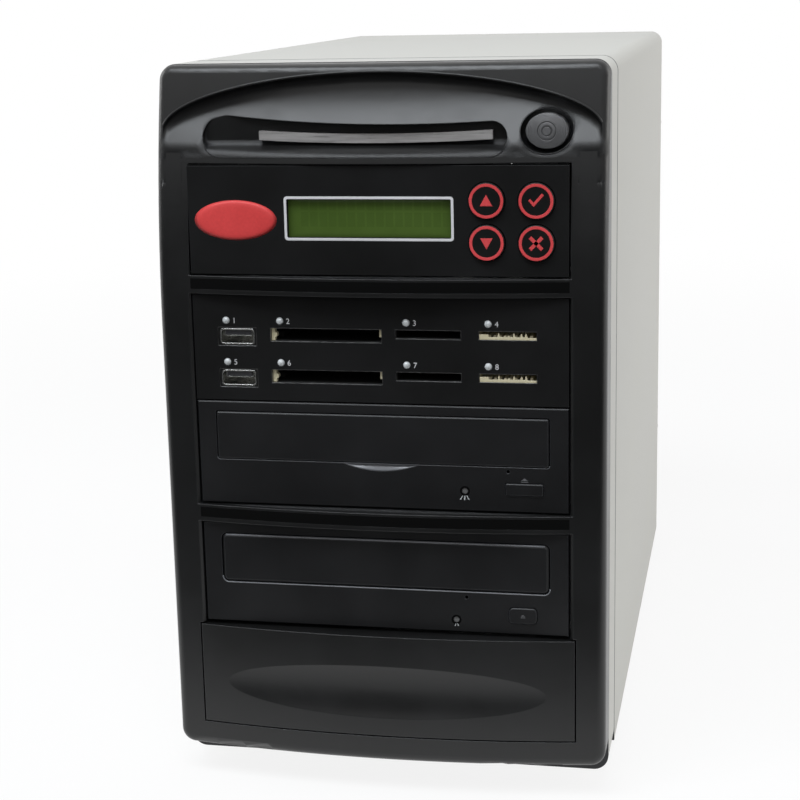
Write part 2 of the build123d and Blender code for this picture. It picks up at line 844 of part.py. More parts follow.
def usb_sockets():
    """Two ports: steel shell with flared edges and a tongue in the upper half."""
    ports = []
    for top in card_rows():
        left, right = usb_left + 0.6, usb_left + usb_width - 0.6
        high, low = top - 0.4, top - usb_height + 0.4
        wall = usb_metal
        shell = block(left, right, 0.4, socket_depth, low, high)
        shell -= block(left + wall, right - wall, -1, socket_depth - 4, low + wall, high - wall)
        over = high - wall - 0.9
        tongue = block(left + 1.6, right - 1.6, 2.0, socket_depth - 3, over - usb_tongue, over)
        floor = top - 10.9 + board_thick
        foot = block(left + 2, right - 2, 6, socket_depth, floor, low + 0.1)
        ports.append(shell + tongue + foot)
    return ports


def wide_sockets():
    """Two wide card sockets with the pin field at the back and side guides."""
    ports = []
    for top in card_rows():
        body = socket(wide_left, wide_width, wide_height, top)
        y0 = panel_thick + socket_depth - 3
        for index in range(25):
            x = wide_left + 6 + index * pin_pitch
            body += block(x, x + 0.5, y0 - 5, y0 + 0.2, top - 3.2, top - 2.7)
        body += block(wide_left + 0.3, wide_left + 3, y0 - 14, y0 + 0.2, top - wide_height + 0.2, top - 3.4)
        ports.append(body)
    return ports


def small_sockets():
    return [socket(small_left, small_width, small_height, top) for top in card_rows()]


def stick_sockets():
    """Two narrow sockets of pale plastic whose contact comb shows in the mouth."""
    ports = []
    for top in card_rows():
        body = socket(stick_left, stick_width, stick_height, top)
        for index in range(10):
            x = stick_left + 1.6 + 2.0 * index
            body += block(x, x + 1.1, panel_thick + 0.1, panel_thick + 8, top - stick_height + 0.2, top - 2.1)
        ports.append(body)
    return ports


def can_low(index):
    """Height of the underside of a drive's can, which is centred in its bay."""
    return drive_tops[index] - bay_height + (bay_height - drive_height) / 2


def drive_case(index):
    """Folded steel can of a drive, open at the front, with vents and connector cut-outs."""
    low = can_low(index)
    high = low + drive_height
    half = drive_width / 2
    wall = drive_wall
    back = drive_front + drive_depth
    can = block(-half, half, drive_front, back, low, high)
    can = fillet(can.edges().filter_by(Axis.Y), 1.0)
    can -= block(-half + wall, half - wall, drive_front - 1, back - wall, low + wall, high - wall)
    for x in (-40.0, 20.0):
        can -= block(x, x + 24, back - 2, back + 1, low + 5, low + 11)
    can -= rod_z(0, disc_y, 16, high - 2, high + 1) - rod_z(0, disc_y, 13, high - 3, high + 2) - block(
        -2, 2, disc_y - 20, disc_y + 20, high - 3, high + 2
    )
    for y, z in cage_screw_places():
        if low < z < high:
            can -= rod_x(y, z, screw_radius + hole_clear, -half - 1, half + 1)
    return can


def eject_hole(index, grow):
    z = drive_tops[index] - eject_drops[index]
    half_w = eject_widths[index] / 2 + grow
    half_h = eject_heights[index] / 2 + grow
    corner = eject_corners[index] + grow
    return Pos(eject_x[index], z) * RectangleRounded(2 * half_w, 2 * half_h, corner)


def door_outline(index, grow):
    """A drive's door seen from the front."""
    height = door_heights[index]
    middle = drive_tops[index] - door_drops[index] - height / 2
    corner = door_corners[index] + grow
    outline = RectangleRounded(2 * (door_half_width + grow), height + 2 * grow, corner)
    return Pos(0, middle) * outline


def drive_mask(index):
    """Front moulding of a drive: tray mouth, eject and lamp holes, pinhole, rear rim."""
    top = drive_tops[index]
    low = top - bay_height
    half = bay_width / 2
    mask = block(-half, half, 0, mask_thick, low, top)
    mask = chamfer(mask.edges().filter_by(lambda e: e.center().Y < 0.1), 0.5)
    rim_half = drive_width / 2 - drive_wall - 0.3
    margin = (bay_height - drive_height) / 2 + drive_wall + 0.3
    rim = block(-rim_half, rim_half, mask_thick - 0.1, mask_thick + 5, low + margin, top - margin)
    rim -= block(-rim_half + 1.6, rim_half - 1.6, 0, 12, low + margin + 1.6, top - margin - 1.6)
    mask += rim
    floor = top - door_drops[index] - door_heights[index] - door_gap
    mask -= slab(door_outline(index, door_gap), -1, mask_thick + 0.01)
    mask -= slab(eject_hole(index, eject_gap), -1, mask_thick + 6)
    if index == 0:
        wide, drop = 15.2, 2.9
        radius = (wide**2 + drop**2) / (2 * drop)
        scoop = Pos(0, floor - drop + radius) * Circle(radius)
        mask -= slab(scoop, -1, 1.6) & block(-wide, wide, -2, 2, floor - drop - 1, floor + 0.1)
    mask -= rod_y(drive_lamp_x[index], top - drive_lamp_drops[index], drive_lamp_radius + 0.1, -1, mask_thick + 1)
    mask -= rod_y(pinhole_x[index], top - pinhole_drops[index], 0.7, -1, mask_thick + 1)
    return mask


def drive_lamps():
    """The small busy lamps of both drives."""
    lamps = []
    for index in range(2):
        z = drive_tops[index] - drive_lamp_drops[index]
        x = drive_lamp_x[index]
        lens = rod_y(x, z, drive_lamp_radius, 0.3, mask_thick + 0.1)
        lamps.append(lens + rod_y(x, z, 2.0, mask_thick + 0.1, mask_thick + 1.4))
    return lamps


def tray_low(index):
    """Height of the underside of a drive's tray."""
    return drive_tops[index] - door_drops[index] - door_heights[index] + tray_lift + 1.5


def drive_base(index):
    """Plastic deck of a drive: floor, runner walls, ledges and top guides for the tray."""
    low = can_low(index) + drive_wall
    under = tray_low(index)
    half = drive_width / 2 - drive_wall - 0.2
    y0, y1 = mask_thick + 5.4, drive_front + drive_depth - drive_wall - 2
    deck = block(-half, half, y0, y1, low + 4.5, low + 6.5)
    deck -= block(-36, 36, disc_y - 24, disc_y + 84, low, low + 10)
    runner = tray_width / 2 + guide_gap
    wall = block(runner, runner + 2, y0, y1, low + 4.5, under + tray_thick + 2.3)
    wall += block(runner - 5, runner + 2, y0, y1, under - guide_gap - 1.5, under - guide_gap)
    wall += block(runner - 2.2, runner + 2, y0 + 8, y1 - 20, under + tray_thick + guide_gap, under + tray_thick + 2.3)
    wall += block(half - 1, half, y0, y1, low, low + 14)
    for one in mirrored(wall):
        deck += one
    for y in (y0 + 14, y1 - 16):
        for one in mirrored(block(half - 8, half - 2, y, y + 6, low, low + 4.6)):
            deck += one
    gear_x, gear_y = gear_place()
    deck += rod_z(gear_x, gear_y, 3.4, low + 6.4, under - gear_clear - gear_thick - fit_gap)
    deck += rod_z(gear_x, gear_y, 2.0, low + 6.4, under - 1.0)
    deck -= block(eject_x[index] - 9, half - 1.2, y0 - 1, y0 + 14, low, under - 3)
    for y, z in cage_screw_places():
        if low < z < low + drive_height:
            deck -= rod_x(y, z, screw_radius + hole_clear, -half - 1, half + 1)
    return deck


def gear_place():
    """Upright axis of the loading gear, beside the rack under the tray."""
    pitch_radius = rack_module * gear_teeth / 2
    return rack_x + pitch_radius + mesh_gap, mask_thick + gear_from_mask


def drive_traverse(index):
    """Steel sub-frame with the spindle motor and the two guide rods of the pickup."""
    low = can_low(index) + drive_wall
    z = low + 6.7
    plate = block(-40, 40, disc_y - 20, disc_y + 88, z, z + 1.2)
    reach = pickup_start + pickup_length + pickup_travel
    plate -= block(-19, 19, disc_y + pickup_start - 1, disc_y + reach + 3, z - 1, z + 2)
    plate += rod_z(0, disc_y, 12, z + 1.2, z + 3.6)
    plate -= rod_z(0, disc_y, 1.8, z - 1, z + 5)
    for x in (-24.0, 24.0):
        for y in (disc_y + 16, disc_y + 82):
            plate += block(x - 3, x + 3, y, y + 2, z + 1.2, z + 8)
        plate += rod_y(x, z + 4.8, 1.5, disc_y + 15, disc_y + 85)
    return plate


def spindle(index):
    """Turntable with its centring hub and shaft, in the lowered position."""
    low = can_low(index) + drive_wall
    z = low + 6.7 + 3.9
    disc = rod_z(0, disc_y, spindle_radius, z, z + 1.6)
    hub = Pos(0, disc_y, z + 2.6) * Cone(hub_radius, hub_radius - 1.2, 2)
    return disc + hub + rod_z(0, disc_y, 1.5, z - 5, z)


def pickup(index):
    """Laser pickup on its two guide rods."""
    low = can_low(index) + drive_wall
    z = low + 6.7
    y = disc_y + pickup_start
    body = block(-17, 17, y, y + pickup_length, z + 2, z + 7.6)
    body += block(-28, 28, y + 6, y + 18, z + 2.4, z + 7.2)
    for x in (-24.0, 24.0):
        body -= rod_y(x, z + 4.8, 1.8, y - 1, y + 30)
    return body + Pos(0, y + 7, z + 7.4) * (Sphere(3.2) & Pos(0, 0, 2) * Box(8, 8, 4))


def tray(index):
    """Disc tray: stepped round recess, slot for spindle and pickup, rack underneath."""
    low = tray_low(index)
    half = tray_width / 2
    y0 = tray_front
    top = low + tray_thick
    body = block(-half, half, y0, y0 + tray_length, low, top)
    body = fillet(body.edges().filter_by(Axis.Z).filter_by(lambda e: e.center().Y > 50), 6)
    body -= rod_z(0, disc_y, disc_radius + disc_clear, top - disc_recess, top + 1)
    body -= rod_z(0, disc_y, small_recess_radius, top - disc_recess - small_recess, top + 1)
    body -= rod_z(0, disc_y, 21, low - 1, top)
    body -= block(-21, 21, disc_y, disc_y + 62, low - 1, top)
    body -= block(-half + 6, half - 6, y0 + 8, y0 + 12, low - 1, low + 1.6)
    pitch = rack_module * math.pi
    _, gear_y = gear_place()
    first = y0 + rack_start
    count = math.ceil((gear_y - first + tray_travel) / pitch)
    bar = rack_x - rack_module * 0.6
    under = low - rack_height
    body += block(rack_x - 3, bar, first, first + count * pitch, under, low)
    teeth = []
    root, tip = bar - 0.1, rack_x + rack_module
    phase = gear_y + pitch / 2 - pitch * int((gear_y - first - 2) / pitch)
    for step in range(count - 2):
        y = phase + pitch * step
        tooth = polygon((root, y - 1.25), (tip, y - 0.5), (tip, y + 0.5), (root, y + 1.25))
        teeth.append(Pos(0, 0, under) * extrude(tooth, rack_height))
    return body + teeth


def loading_gear(index):
    """Spur gear that drives the tray's rack."""
    low = tray_low(index)
    gear_x, gear_y = gear_place()
    root = rack_module * (gear_teeth / 2 - 1.2)
    tip = rack_module * (gear_teeth / 2 + 0.85)
    gear = Circle(root)
    for tooth in range(gear_teeth):
        angle = 360 / gear_teeth * tooth + 180
        shape = polygon((root - 0.6, -1.2), (tip, -0.45), (tip, 0.45), (root - 0.6, 1.2))
        gear += Rot(0, 0, angle) * shape
    floor = low - gear_clear - gear_thick
    body = Pos(gear_x, gear_y, floor) * extrude(gear, gear_thick)
    return body - rod_z(gear_x, gear_y, 2.0 + hole_clear, low - 10, low + 1)


def door(index):
    """Front flap of the tray, flush in its mouth."""
    body = slab(door_outline(index, 0), -door_proud, tray_front)
    rim = body.edges().filter_by(lambda e: e.center().Y < 0.01 - door_proud)
    return chamfer(rim, door_bevels[index])


def eject_button(index):
    """Eject key: rounded cap, flange behind the mask and a finger to its switch."""
    y0 = -0.7
    cap = slab(eject_hole(index, 0), y0, mask_thick + 0.3)
    cap = chamfer(cap.edges().filter_by(lambda e: e.center().Y < y0 + 0.1), 0.3)
    cap += slab(eject_hole(index, 0.9), mask_thick + 0.3, mask_thick + 1.2)
    z = drive_tops[index] - eject_drops[index]
    return cap + rod_y(eject_x[index], z, 1.5, mask_thick + 1.2, mask_thick + eject_reach)


def drive_boards():
    """Circuit board in the bottom of each drive, with the eject switch and connectors."""
    boards = []
    for index in range(2):
        low = can_low(index) + drive_wall
        half = drive_width / 2 - drive_wall - 1.5
        y1 = drive_front + drive_depth - drive_wall
        board = block(-half + 10, half - 10, mask_thick + 7, y1 - 0.3, low + 0.8, low + 2.4)
        z = drive_tops[index] - eject_drops[index]
        x = eject_x[index]
        switch = block(x - 4, x + 4, mask_thick + 7, mask_thick + 13, low + 2.4, z + 2.8)
        board += switch - rod_y(x, z, 1.8, mask_thick + 6, mask_thick + eject_reach + 2 * eject_travel)
        for left in (-39.0, 21.0):
            board += block(left, left + 22, y1 - 12, y1 - 0.3, low + 2.4, low + 4.2)
        for x in (-50.0, 0.0, 50.0):
            board += block(x - 3, x + 3, 30, 36, low, low + 0.9)
        boards.append(board)
    return boards


def psu_case():
    """Steel box of the power supply with the openings of its rear face and side vents."""
    half = psu_width / 2
    box = block(-half, half, psu_front, rear_plane, psu_bottom, psu_top)
    box -= block(-half + 1, half - 1, psu_front + 1, rear_plane - 1, psu_bottom + 1, psu_top - 1)
    box -= rod_y(fan_x, fan_z, fan_size / 2 - 2, rear_plane - 2, rear_plane + 1)
    box -= block(inlet_x - 13.8, inlet_x + 13.8, rear_plane - 2, rear_plane + 1, inlet_z - 10.2, inlet_z + 10.2)
    box -= block(inlet_x - 10.7, inlet_x + 10.7, rear_plane - 2, rear_plane + 1, rocker_z - 7.7, rocker_z + 7.7)
    for x, z in psu_screw_places() + fan_screw_places(fan_x, fan_z):
        box -= rod_y(x, z, screw_radius + hole_clear, rear_plane - 2, rear_plane + 1)
    for column in range(9):
        x = -48 + 12 * column
        box -= block(x - 2, x + 2, psu_front - 1, psu_front + 2, psu_bottom + 18, psu_top - 18)
    return box


def fan_frame(x, z, back):
    """Square fan frame: round duct, corner holes, motor seat on three arms."""
    reach = fan_size / 2
    outline = Pos(x, z) * RectangleRounded(fan_size, fan_size, 5)
    duct = slab(outline, back - fan_depth, back) - rod_y(x, z, reach - 2, back - fan_depth - 1, back + 1)
    for hole_x, hole_z in fan_screw_places(x, z):
        duct -= rod_y(hole_x, hole_z, 2.2, back - fan_depth - 1, back + 1)
    seat = rod_y(x, z, hub_half, back - 3, back)
    for turn in range(4):
        arm = block(hub_half - 2, reach - 1, back - 3, back, -1.5, 1.5)
        seat += Pos(x, 0, z) * Rot(0, 45 + 90 * turn, 0) * arm
    return duct + (seat - rod_y(x, z, 1.8, back - 4, back - 1))


def fan_rotor(x, z, back):
    """Fan wheel: cup hub with twisted blades and its shaft."""
    y1 = back - 3.4
    y0 = back - fan_depth + 1
    tip = fan_size / 2 - 2 - fan_tip_gap
    rotor = rod_y(0, 0, hub_half, y0, y1) - rod_y(0, 0, hub_half - 1.6, y0 + 1.6, y1 + 1)
    depth = y1 - y0 - 2
    blades = []
    for turn in range(blade_count):
        sections = []
        for radius, pitch in ((hub_half - 0.8, 35), (tip + 2, 52)):
            chord = depth / math.cos(math.radians(pitch))
            place = Plane(origin=(radius, (y0 + y1) / 2, 0), x_dir=(0, 1, 0), z_dir=(1, 0, 0))
            sections.append(place * (Rot(0, 0, pitch) * Rectangle(chord * 0.92, 1.4)))
        blades.append(Rot(0, 360 / blade_count * turn, 0) * loft(sections, ruled=True))
    rotor = (rotor + blades) & rod_y(0, 0, tip, y0 - 1, back)
    rotor += rod_y(0, 0, 1.5, y0 + 1, y1 + 1.8)
    return Pos(x, 0, z) * rotor


def fan_guard():
    """Wire guard of the power supply's fan: rings on four spokes with screw eyes."""
    y = rear_plane
    reach = (fan_size / 2 - 4.25) * math.sqrt(2)
    flat = Circle(guard_rings[0] + wire) - Circle(guard_rings[0] - wire)
    for radius in guard_rings[1:]:
        flat += Circle(radius + wire) - Circle(radius - wire)
    for turn in range(4):
        flat += Rot(0, 0, 45 + 90 * turn) * (Pos((reach + 12) / 2, 0) * Rectangle(reach - 12, 2 * wire))
        eye = Rot(0, 0, 45 + 90 * turn) * (Pos(reach, 0) * Circle(3.6))
        flat += eye
        flat -= Rot(0, 0, 45 + 90 * turn) * (Pos(reach, 0) * Circle(2.2))
    return slab(Pos(fan_x, fan_z) * flat, y, y + 2 * wire)


def power_inlet():
    """Three-pin mains inlet: flanged body with an open cavity and its pins."""
    y = rear_plane
    body = slab(Pos(inlet_x, inlet_z) * RectangleRounded(30, 23, 2), y, y + 2.2)
    body += block(inlet_x - 13.4, inlet_x + 13.4, y - 18, y, inlet_z - 9.8, inlet_z + 9.8)
    cavity = Pos(inlet_x, inlet_z) * chamfer(Rectangle(24.6, 16.4).vertices().group_by(Axis.Y)[-1], 4)
    body -= slab(cavity, y - 14, y + 3)
    for x, z in ((-7, -1.5), (7, -1.5), (0, 3.0)):
        body += block(inlet_x + x - 1, inlet_x + x + 1, y - 14.5, y - 1, inlet_z + z - 2, inlet_z + z + 2)
    return body


def switch_frame():
    """Frame of the mains switch, with the bearing holes of its rocker."""
    y = rear_plane
    frame = block(inlet_x - 12, inlet_x + 12, y, y + 1.6, rocker_z - 9, rocker_z + 9)
    frame += block(inlet_x - 10.3, inlet_x + 10.3, y - 14, y, rocker_z - 7.3, rocker_z + 7.3)
    frame -= block(inlet_x - 8.8, inlet_x + 8.8, y - 11, y + 2, rocker_z - 6.2, rocker_z + 6.2)
    return frame - rod_x(y - 3, rocker_z, 1.4, inlet_x - 9.6, inlet_x + 9.6)


def switch_rocker():
    """Rocker of the mains switch, with a shallow bend and its two pivot pins."""
    y = rear_plane - 3
    end, face = 5.2, 4.6
    bend = end * math.tan(math.radians(rocker_angle))
    side = polygon(
        (-5.8, -2), (-1, -4), (1, -4), (5.8, -2), (end, face), (0, face - bend), (-end, face)
    )
    place = Plane(origin=(inlet_x, y, rocker_z), x_dir=(0, 0, 1), z_dir=(-1, 0, 0))
    body = extrude(place * side, 8.5, both=True)
    return body + rod_x(y, rocker_z, 1.15, inlet_x - 9.4, inlet_x + 9.4)


def save(name, shape):
    """Write one node, moved so that the middle of the tower's depth is at Y = 0."""
    solids = list(shape) if isinstance(shape, (list, tuple)) else [shape]
    pieces = [solid for one in solids for solid in one.solids()]
    export_step(Pos(0, -middle_y, 0) * Compound(children=pieces), f"parts/{name}.step")


def main():
    os.makedirs("parts", exist_ok=True)
    save("front_bezel", front_bezel())
    save("front_frame", front_frame())
    save("base_tray", base_tray())
    save("wrap_cover", wrap_cover())
    save("rear_panel", rear_panel())
    save("bay_rail_left", bay_rail(-1))
    save("bay_rail_right", bay_rail(1))
    save("bay_blank", bay_blank())
    save("light_strip", light_strip())
    save("feet", feet())
    save("thumbscrews", thumbscrews())
    save("chassis_screws", chassis_screws())
    save("power_button", power_button())
    save("power_switch", power_switch())
    save("button_spring", button_spring())
    save("control_panel", control_panel())
    save("display_module", display_module())
    save("control_board", control_board())
    for name, (x, z) in zip(("key_up", "key_down", "key_enter", "key_escape"), key_places()):
        save(name, key(x, z))
    save("card_panel", card_panel())
    save("card_lamps", card_lamps())
    save("card_boards", card_boards())
    save("usb_sockets", usb_sockets())
    save("wide_sockets", wide_sockets())
    save("small_sockets", small_sockets())
    save("stick_sockets", stick_sockets())
    for index in range(2):
        drive = f"drive_{index + 1}"
        save(f"{drive}_case", drive_case(index))
        save(f"{drive}_mask", drive_mask(index))
        save(f"{drive}_base", drive_base(index))
        save(f"{drive}_traverse", drive_traverse(index))
        save(f"{drive}_spindle", spindle(index))
        save(f"{drive}_pickup", pickup(index))
        save(f"{drive}_tray", tray(index))
        save(f"{drive}_gear", loading_gear(index))
        save(f"{drive}_door", door(index))
        save(f"{drive}_eject", eject_button(index))
    save("drive_lamps", drive_lamps())
    save("drive_boards", drive_boards())
    save("psu_case", psu_case())
    save("psu_fan_frame", fan_frame(fan_x, fan_z, rear_plane - 1))
    save("psu_fan_rotor", fan_rotor(fan_x, fan_z, rear_plane - 1))
    save("psu_fan_guard", fan_guard())
    save("power_inlet", power_inlet())
    save("switch_frame", switch_frame())
    save("switch_rocker", switch_rocker())
    save("case_fan_frame", fan_frame(0, case_fan_height, rear_plane))
    save("case_fan_rotor", fan_rotor(0, case_fan_height, rear_plane))


main()
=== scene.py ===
import json
import math

import bmesh
import bpy
import numpy as np
from mathutils import Matrix, Vector


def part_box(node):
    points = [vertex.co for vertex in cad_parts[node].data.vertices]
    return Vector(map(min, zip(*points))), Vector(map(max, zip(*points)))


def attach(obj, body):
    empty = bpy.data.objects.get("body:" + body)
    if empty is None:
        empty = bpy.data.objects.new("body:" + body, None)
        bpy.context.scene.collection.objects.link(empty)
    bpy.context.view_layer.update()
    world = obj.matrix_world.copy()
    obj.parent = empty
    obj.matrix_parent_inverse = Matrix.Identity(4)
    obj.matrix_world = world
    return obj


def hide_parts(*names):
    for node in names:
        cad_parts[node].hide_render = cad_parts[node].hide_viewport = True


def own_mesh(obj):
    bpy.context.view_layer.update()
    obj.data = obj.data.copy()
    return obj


# Looks of the disc duplicator tower. Lengths in the dictionaries are millimetres in the drawing's frame:
# x to the right, y to the back from the drive fronts, z up from the desk. place() turns them into metres.

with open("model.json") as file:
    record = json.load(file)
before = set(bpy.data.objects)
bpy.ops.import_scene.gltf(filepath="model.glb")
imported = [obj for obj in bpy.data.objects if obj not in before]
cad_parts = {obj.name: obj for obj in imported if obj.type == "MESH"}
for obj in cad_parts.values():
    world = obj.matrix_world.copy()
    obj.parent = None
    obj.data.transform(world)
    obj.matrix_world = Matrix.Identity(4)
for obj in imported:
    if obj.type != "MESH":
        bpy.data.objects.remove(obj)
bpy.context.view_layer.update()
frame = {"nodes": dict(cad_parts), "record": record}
print("frame loaded:", len(frame["nodes"]), "nodes")

mm = 0.001
middleY = 178.25
panelTop = 254.0


# Drawing millimetres to scene metres.
def place(points):
    points = np.asarray(points, float)
    return (points - np.array([0.0, middleY, 0.0])) * mm


# Camera and lamps, in metres

shot = {
    "position": (0.14383, -0.85026, 0.32117),
    "azimuth": 0.19934,
    "elevation": 0.22717,
    "roll": -0.02169,
    "lens": 81.44,
    "sensor": 36.0,
    "shiftX": 0.0004,
    "shiftY": 0.0015,
    "nearest": 0.01,
}


def addCamera(view):
    az, el, roll = view["azimuth"], view["elevation"], view["roll"]
    forward = Vector((-math.sin(az) * math.cos(el), math.cos(az) * math.cos(el), -math.sin(el)))
    right = Vector((math.cos(az), math.sin(az), 0.0))
    up = right.cross(forward)
    tiltedRight = right * math.cos(roll) + up * math.sin(roll)
    tiltedUp = up * math.cos(roll) - right * math.sin(roll)
    turn = Matrix((tiltedRight, tiltedUp, -forward)).transposed().to_4x4()
    lensData = bpy.data.cameras.new("photoCamera")
    lensData.lens = view["lens"]
    lensData.sensor_width = view["sensor"]
    lensData.shift_x = view["shiftX"]
    lensData.shift_y = view["shiftY"]
    lensData.clip_start = view["nearest"]
    camera = bpy.data.objects.new("photoCamera", lensData)
    camera.matrix_world = Matrix.Translation(view["position"]) @ turn
    bpy.context.scene.collection.objects.link(camera)
    bpy.context.scene.camera = camera


lampTarget = (0.0, 0.0, 0.15)
lamps = {
    "frontSoftbox": {"at": (-0.25, -0.95, 1.70), "size": (1.7, 0.7), "watts": 26.0, "tint": (0.90, 0.95, 1.0)},
    "topSoftbox": {"at": (0.05, 0.5, 1.6), "size": (1.3, 1.0), "watts": 1.5, "tint": (1.0, 1.0, 1.0)},
    "rightFill": {"at": (1.7, 0.35, 0.7), "size": (1.1, 1.1), "watts": 10.0, "tint": (1.0, 0.99, 0.96)},
    "leftFill": {"at": (-1.6, 0.2, 0.8), "size": (0.7, 0.9), "watts": 5.0, "tint": (1.0, 1.0, 1.0)},
}


def addLamps(rig):
    for name, one in rig.items():
        data = bpy.data.lights.new(name, "AREA")
        data.shape = "RECTANGLE"
        data.size, data.size_y = one["size"]
        data.energy = one["watts"]
        data.color = one["tint"]
        lamp = bpy.data.objects.new(name, data)
        spot = Vector(one["at"])
        facing = (Vector(lampTarget) - spot).to_track_quat("-Z", "Y").to_matrix().to_4x4()
        lamp.matrix_world = Matrix.Translation(spot) @ facing
        lamp.visible_camera = False
        bpy.context.scene.collection.objects.link(lamp)


# Node helpers


# A colour as three shares; a plain number is a grey.
def shade(colour):
    return (colour,) * 3 if isinstance(colour, float) else colour


# Sets a socket to a number or a colour, or links another socket to it.
def feed(tree, value, socket):
    if isinstance(value, (int, float)):
        socket.default_value = value
    elif isinstance(value, tuple):
        socket.default_value = (*value, 1.0)
    else:
        tree.links.new(value, socket)


def mathNode(tree, operation, *values):
    node = tree.nodes.new("ShaderNodeMath")
    node.operation = operation
    for slot, value in enumerate(values):
        feed(tree, value, node.inputs[slot])
    return node.outputs[0]


def vectorNode(tree, operation, *vectors):
    node = tree.nodes.new("ShaderNodeVectorMath")
    node.operation = operation
    for slot, vector in enumerate(vectors):
        tree.links.new(vector, node.inputs[slot])
    return node.outputs["Vector" if operation == "MULTIPLY" else "Value"]


# Maps low..high to toLow..toHigh and holds both ends.
def rangeNode(tree, value, low, high, toLow=0.0, toHigh=1.0, smooth=False):
    node = tree.nodes.new("ShaderNodeMapRange")
    if smooth:
        node.interpolation_type = "SMOOTHSTEP"
    for label, number in (("From Min", low), ("From Max", high), ("To Min", toLow), ("To Max", toHigh)):
        node.inputs[label].default_value = number
    tree.links.new(value, node.inputs["Value"])
    return node.outputs["Result"]


def noiseNode(tree, vector, scale, detail=3.0, rough=0.55):
    node = tree.nodes.new("ShaderNodeTexNoise")
    node.inputs["Detail"].default_value = detail
    node.inputs["Roughness"].default_value = rough
    tree.links.new(vector, node.inputs["Vector"])
    feed(tree, scale, node.inputs["Scale"])
    return node.outputs["Fac"]


def bevelNode(tree, radius):
    node = tree.nodes.new("ShaderNodeBevel")
    node.samples = 4
    feed(tree, radius, node.inputs["Radius"])
    return node.outputs[0]


def objectCoords(tree):
    return tree.nodes.new("ShaderNodeTexCoord").outputs["Object"]


def splitAxes(tree, vector):
    node = tree.nodes.new("ShaderNodeSeparateXYZ")
    tree.links.new(vector, node.inputs[0])
    return node.outputs["X"], node.outputs["Y"], node.outputs["Z"]


def mixColours(tree, factor, first, second):
    node = tree.nodes.new("ShaderNodeMix")
    node.data_type = "RGBA"
    tree.links.new(factor, node.inputs[0])
    feed(tree, shade(first), node.inputs[6])
    feed(tree, shade(second), node.inputs[7])
    return node.outputs[2]


def mixShaders(tree, factor, first, second):
    node = tree.nodes.new("ShaderNodeMixShader")
    for slot, source in enumerate((factor, first, second)):
        tree.links.new(source, node.inputs[slot])
    return node.outputs[0]


# A colour ramp through (place, colour) stops.
def rampNode(tree, factor, stops):
    node = tree.nodes.new("ShaderNodeValToRGB")
    while len(node.color_ramp.elements) < len(stops):
        node.color_ramp.elements.new(0.5)
    for element, (where, colour) in zip(node.color_ramp.elements, stops):
        element.position = where
        element.color = (*shade(colour), 1.0)
    tree.links.new(factor, node.inputs[0])
    return node.outputs["Color"]


# Stage

stageLook = {
    "floorHalf": 6.0,
    "paper": 0.93,
    "room": 0.06,  # what lies past the paper's front end, for light that bounces
    "paperEnd": (-0.34, -0.20),
    "whiten": (0.86, 1.0),
    "whitenReach": (0.35, 1.4),
    "worldSoft": (0.80, 0.14),  # light that isn't mirrored, from the viewer's side and from behind
    "softFrom": (-0.95, 0.1),
    "worldFront": 0.03,  # mirrored light: a dim room on the viewer's side, white paper behind
    "frontFrom": (-0.55, 0.25),
    "worldHigh": 0.75,  # the room's upper half is lit, its lower half is not
    "highFrom": (0.02, 0.40),
}


# Paper that the camera and mirrors see whiter than its paint, and that keeps the object's shadow.
def paperMaterial(look):
    paint = bpy.data.materials.new("floorPaper")
    paint.use_nodes = True
    tree = paint.node_tree
    tree.nodes.clear()
    output = tree.nodes.new("ShaderNodeOutputMaterial")
    where = objectCoords(tree)
    ahead = rangeNode(tree, splitAxes(tree, where)[1], *look["paperEnd"], smooth=True)
    paper = tree.nodes.new("ShaderNodeBsdfDiffuse")
    tree.links.new(mixColours(tree, ahead, look["room"], look["paper"]), paper.inputs["Color"])
    glow = tree.nodes.new("ShaderNodeEmission")
    rays = tree.nodes.new("ShaderNodeLightPath").outputs
    mirrors = mathNode(tree, "MAXIMUM", rays["Is Glossy Ray"], rays["Is Transmission Ray"])
    seen = mathNode(tree, "MAXIMUM", rays["Is Camera Ray"], mathNode(tree, "MULTIPLY", mirrors, ahead))
    distance = vectorNode(tree, "LENGTH", where)
    whiter = rangeNode(tree, distance, *look["whitenReach"], *look["whiten"], smooth=True)
    share = mathNode(tree, "MULTIPLY", seen, whiter)
    tree.links.new(mixShaders(tree, share, paper.outputs[0], glow.outputs[0]), output.inputs[0])
    return paint


def whiteBackground(tree, strength):
    node = tree.nodes.new("ShaderNodeBackground")
    node.inputs["Color"].default_value = (1.0, 1.0, 1.0, 1.0)
    feed(tree, strength, node.inputs["Strength"])
    return node.outputs[0]


def addWorld(look):
    world = bpy.data.worlds.new("studio")
    bpy.context.scene.world = world
    world.use_nodes = True
    tree = world.node_tree
    tree.nodes.clear()
    output = tree.nodes.new("ShaderNodeOutputWorld")
    rays = tree.nodes.new("ShaderNodeLightPath").outputs
    _, y, z = splitAxes(tree, tree.nodes.new("ShaderNodeTexCoord").outputs["Generated"])
    behind = rangeNode(tree, y, *look["frontFrom"], look["worldFront"], 1.0)
    overhead = rangeNode(tree, z, *look["highFrom"], 0.0, look["worldHigh"], smooth=True)
    around = rangeNode(tree, y, *look["softFrom"], *look["worldSoft"])
    mirrored = whiteBackground(tree, mathNode(tree, "MAXIMUM", behind, overhead))
    mirrors = mathNode(tree, "MAXIMUM", rays["Is Glossy Ray"], rays["Is Transmission Ray"])
    bounced = mixShaders(tree, mirrors, whiteBackground(tree, around), mirrored)
    shown = mixShaders(tree, rays["Is Camera Ray"], bounced, whiteBackground(tree, 1.0))
    tree.links.new(shown, output.inputs[0])


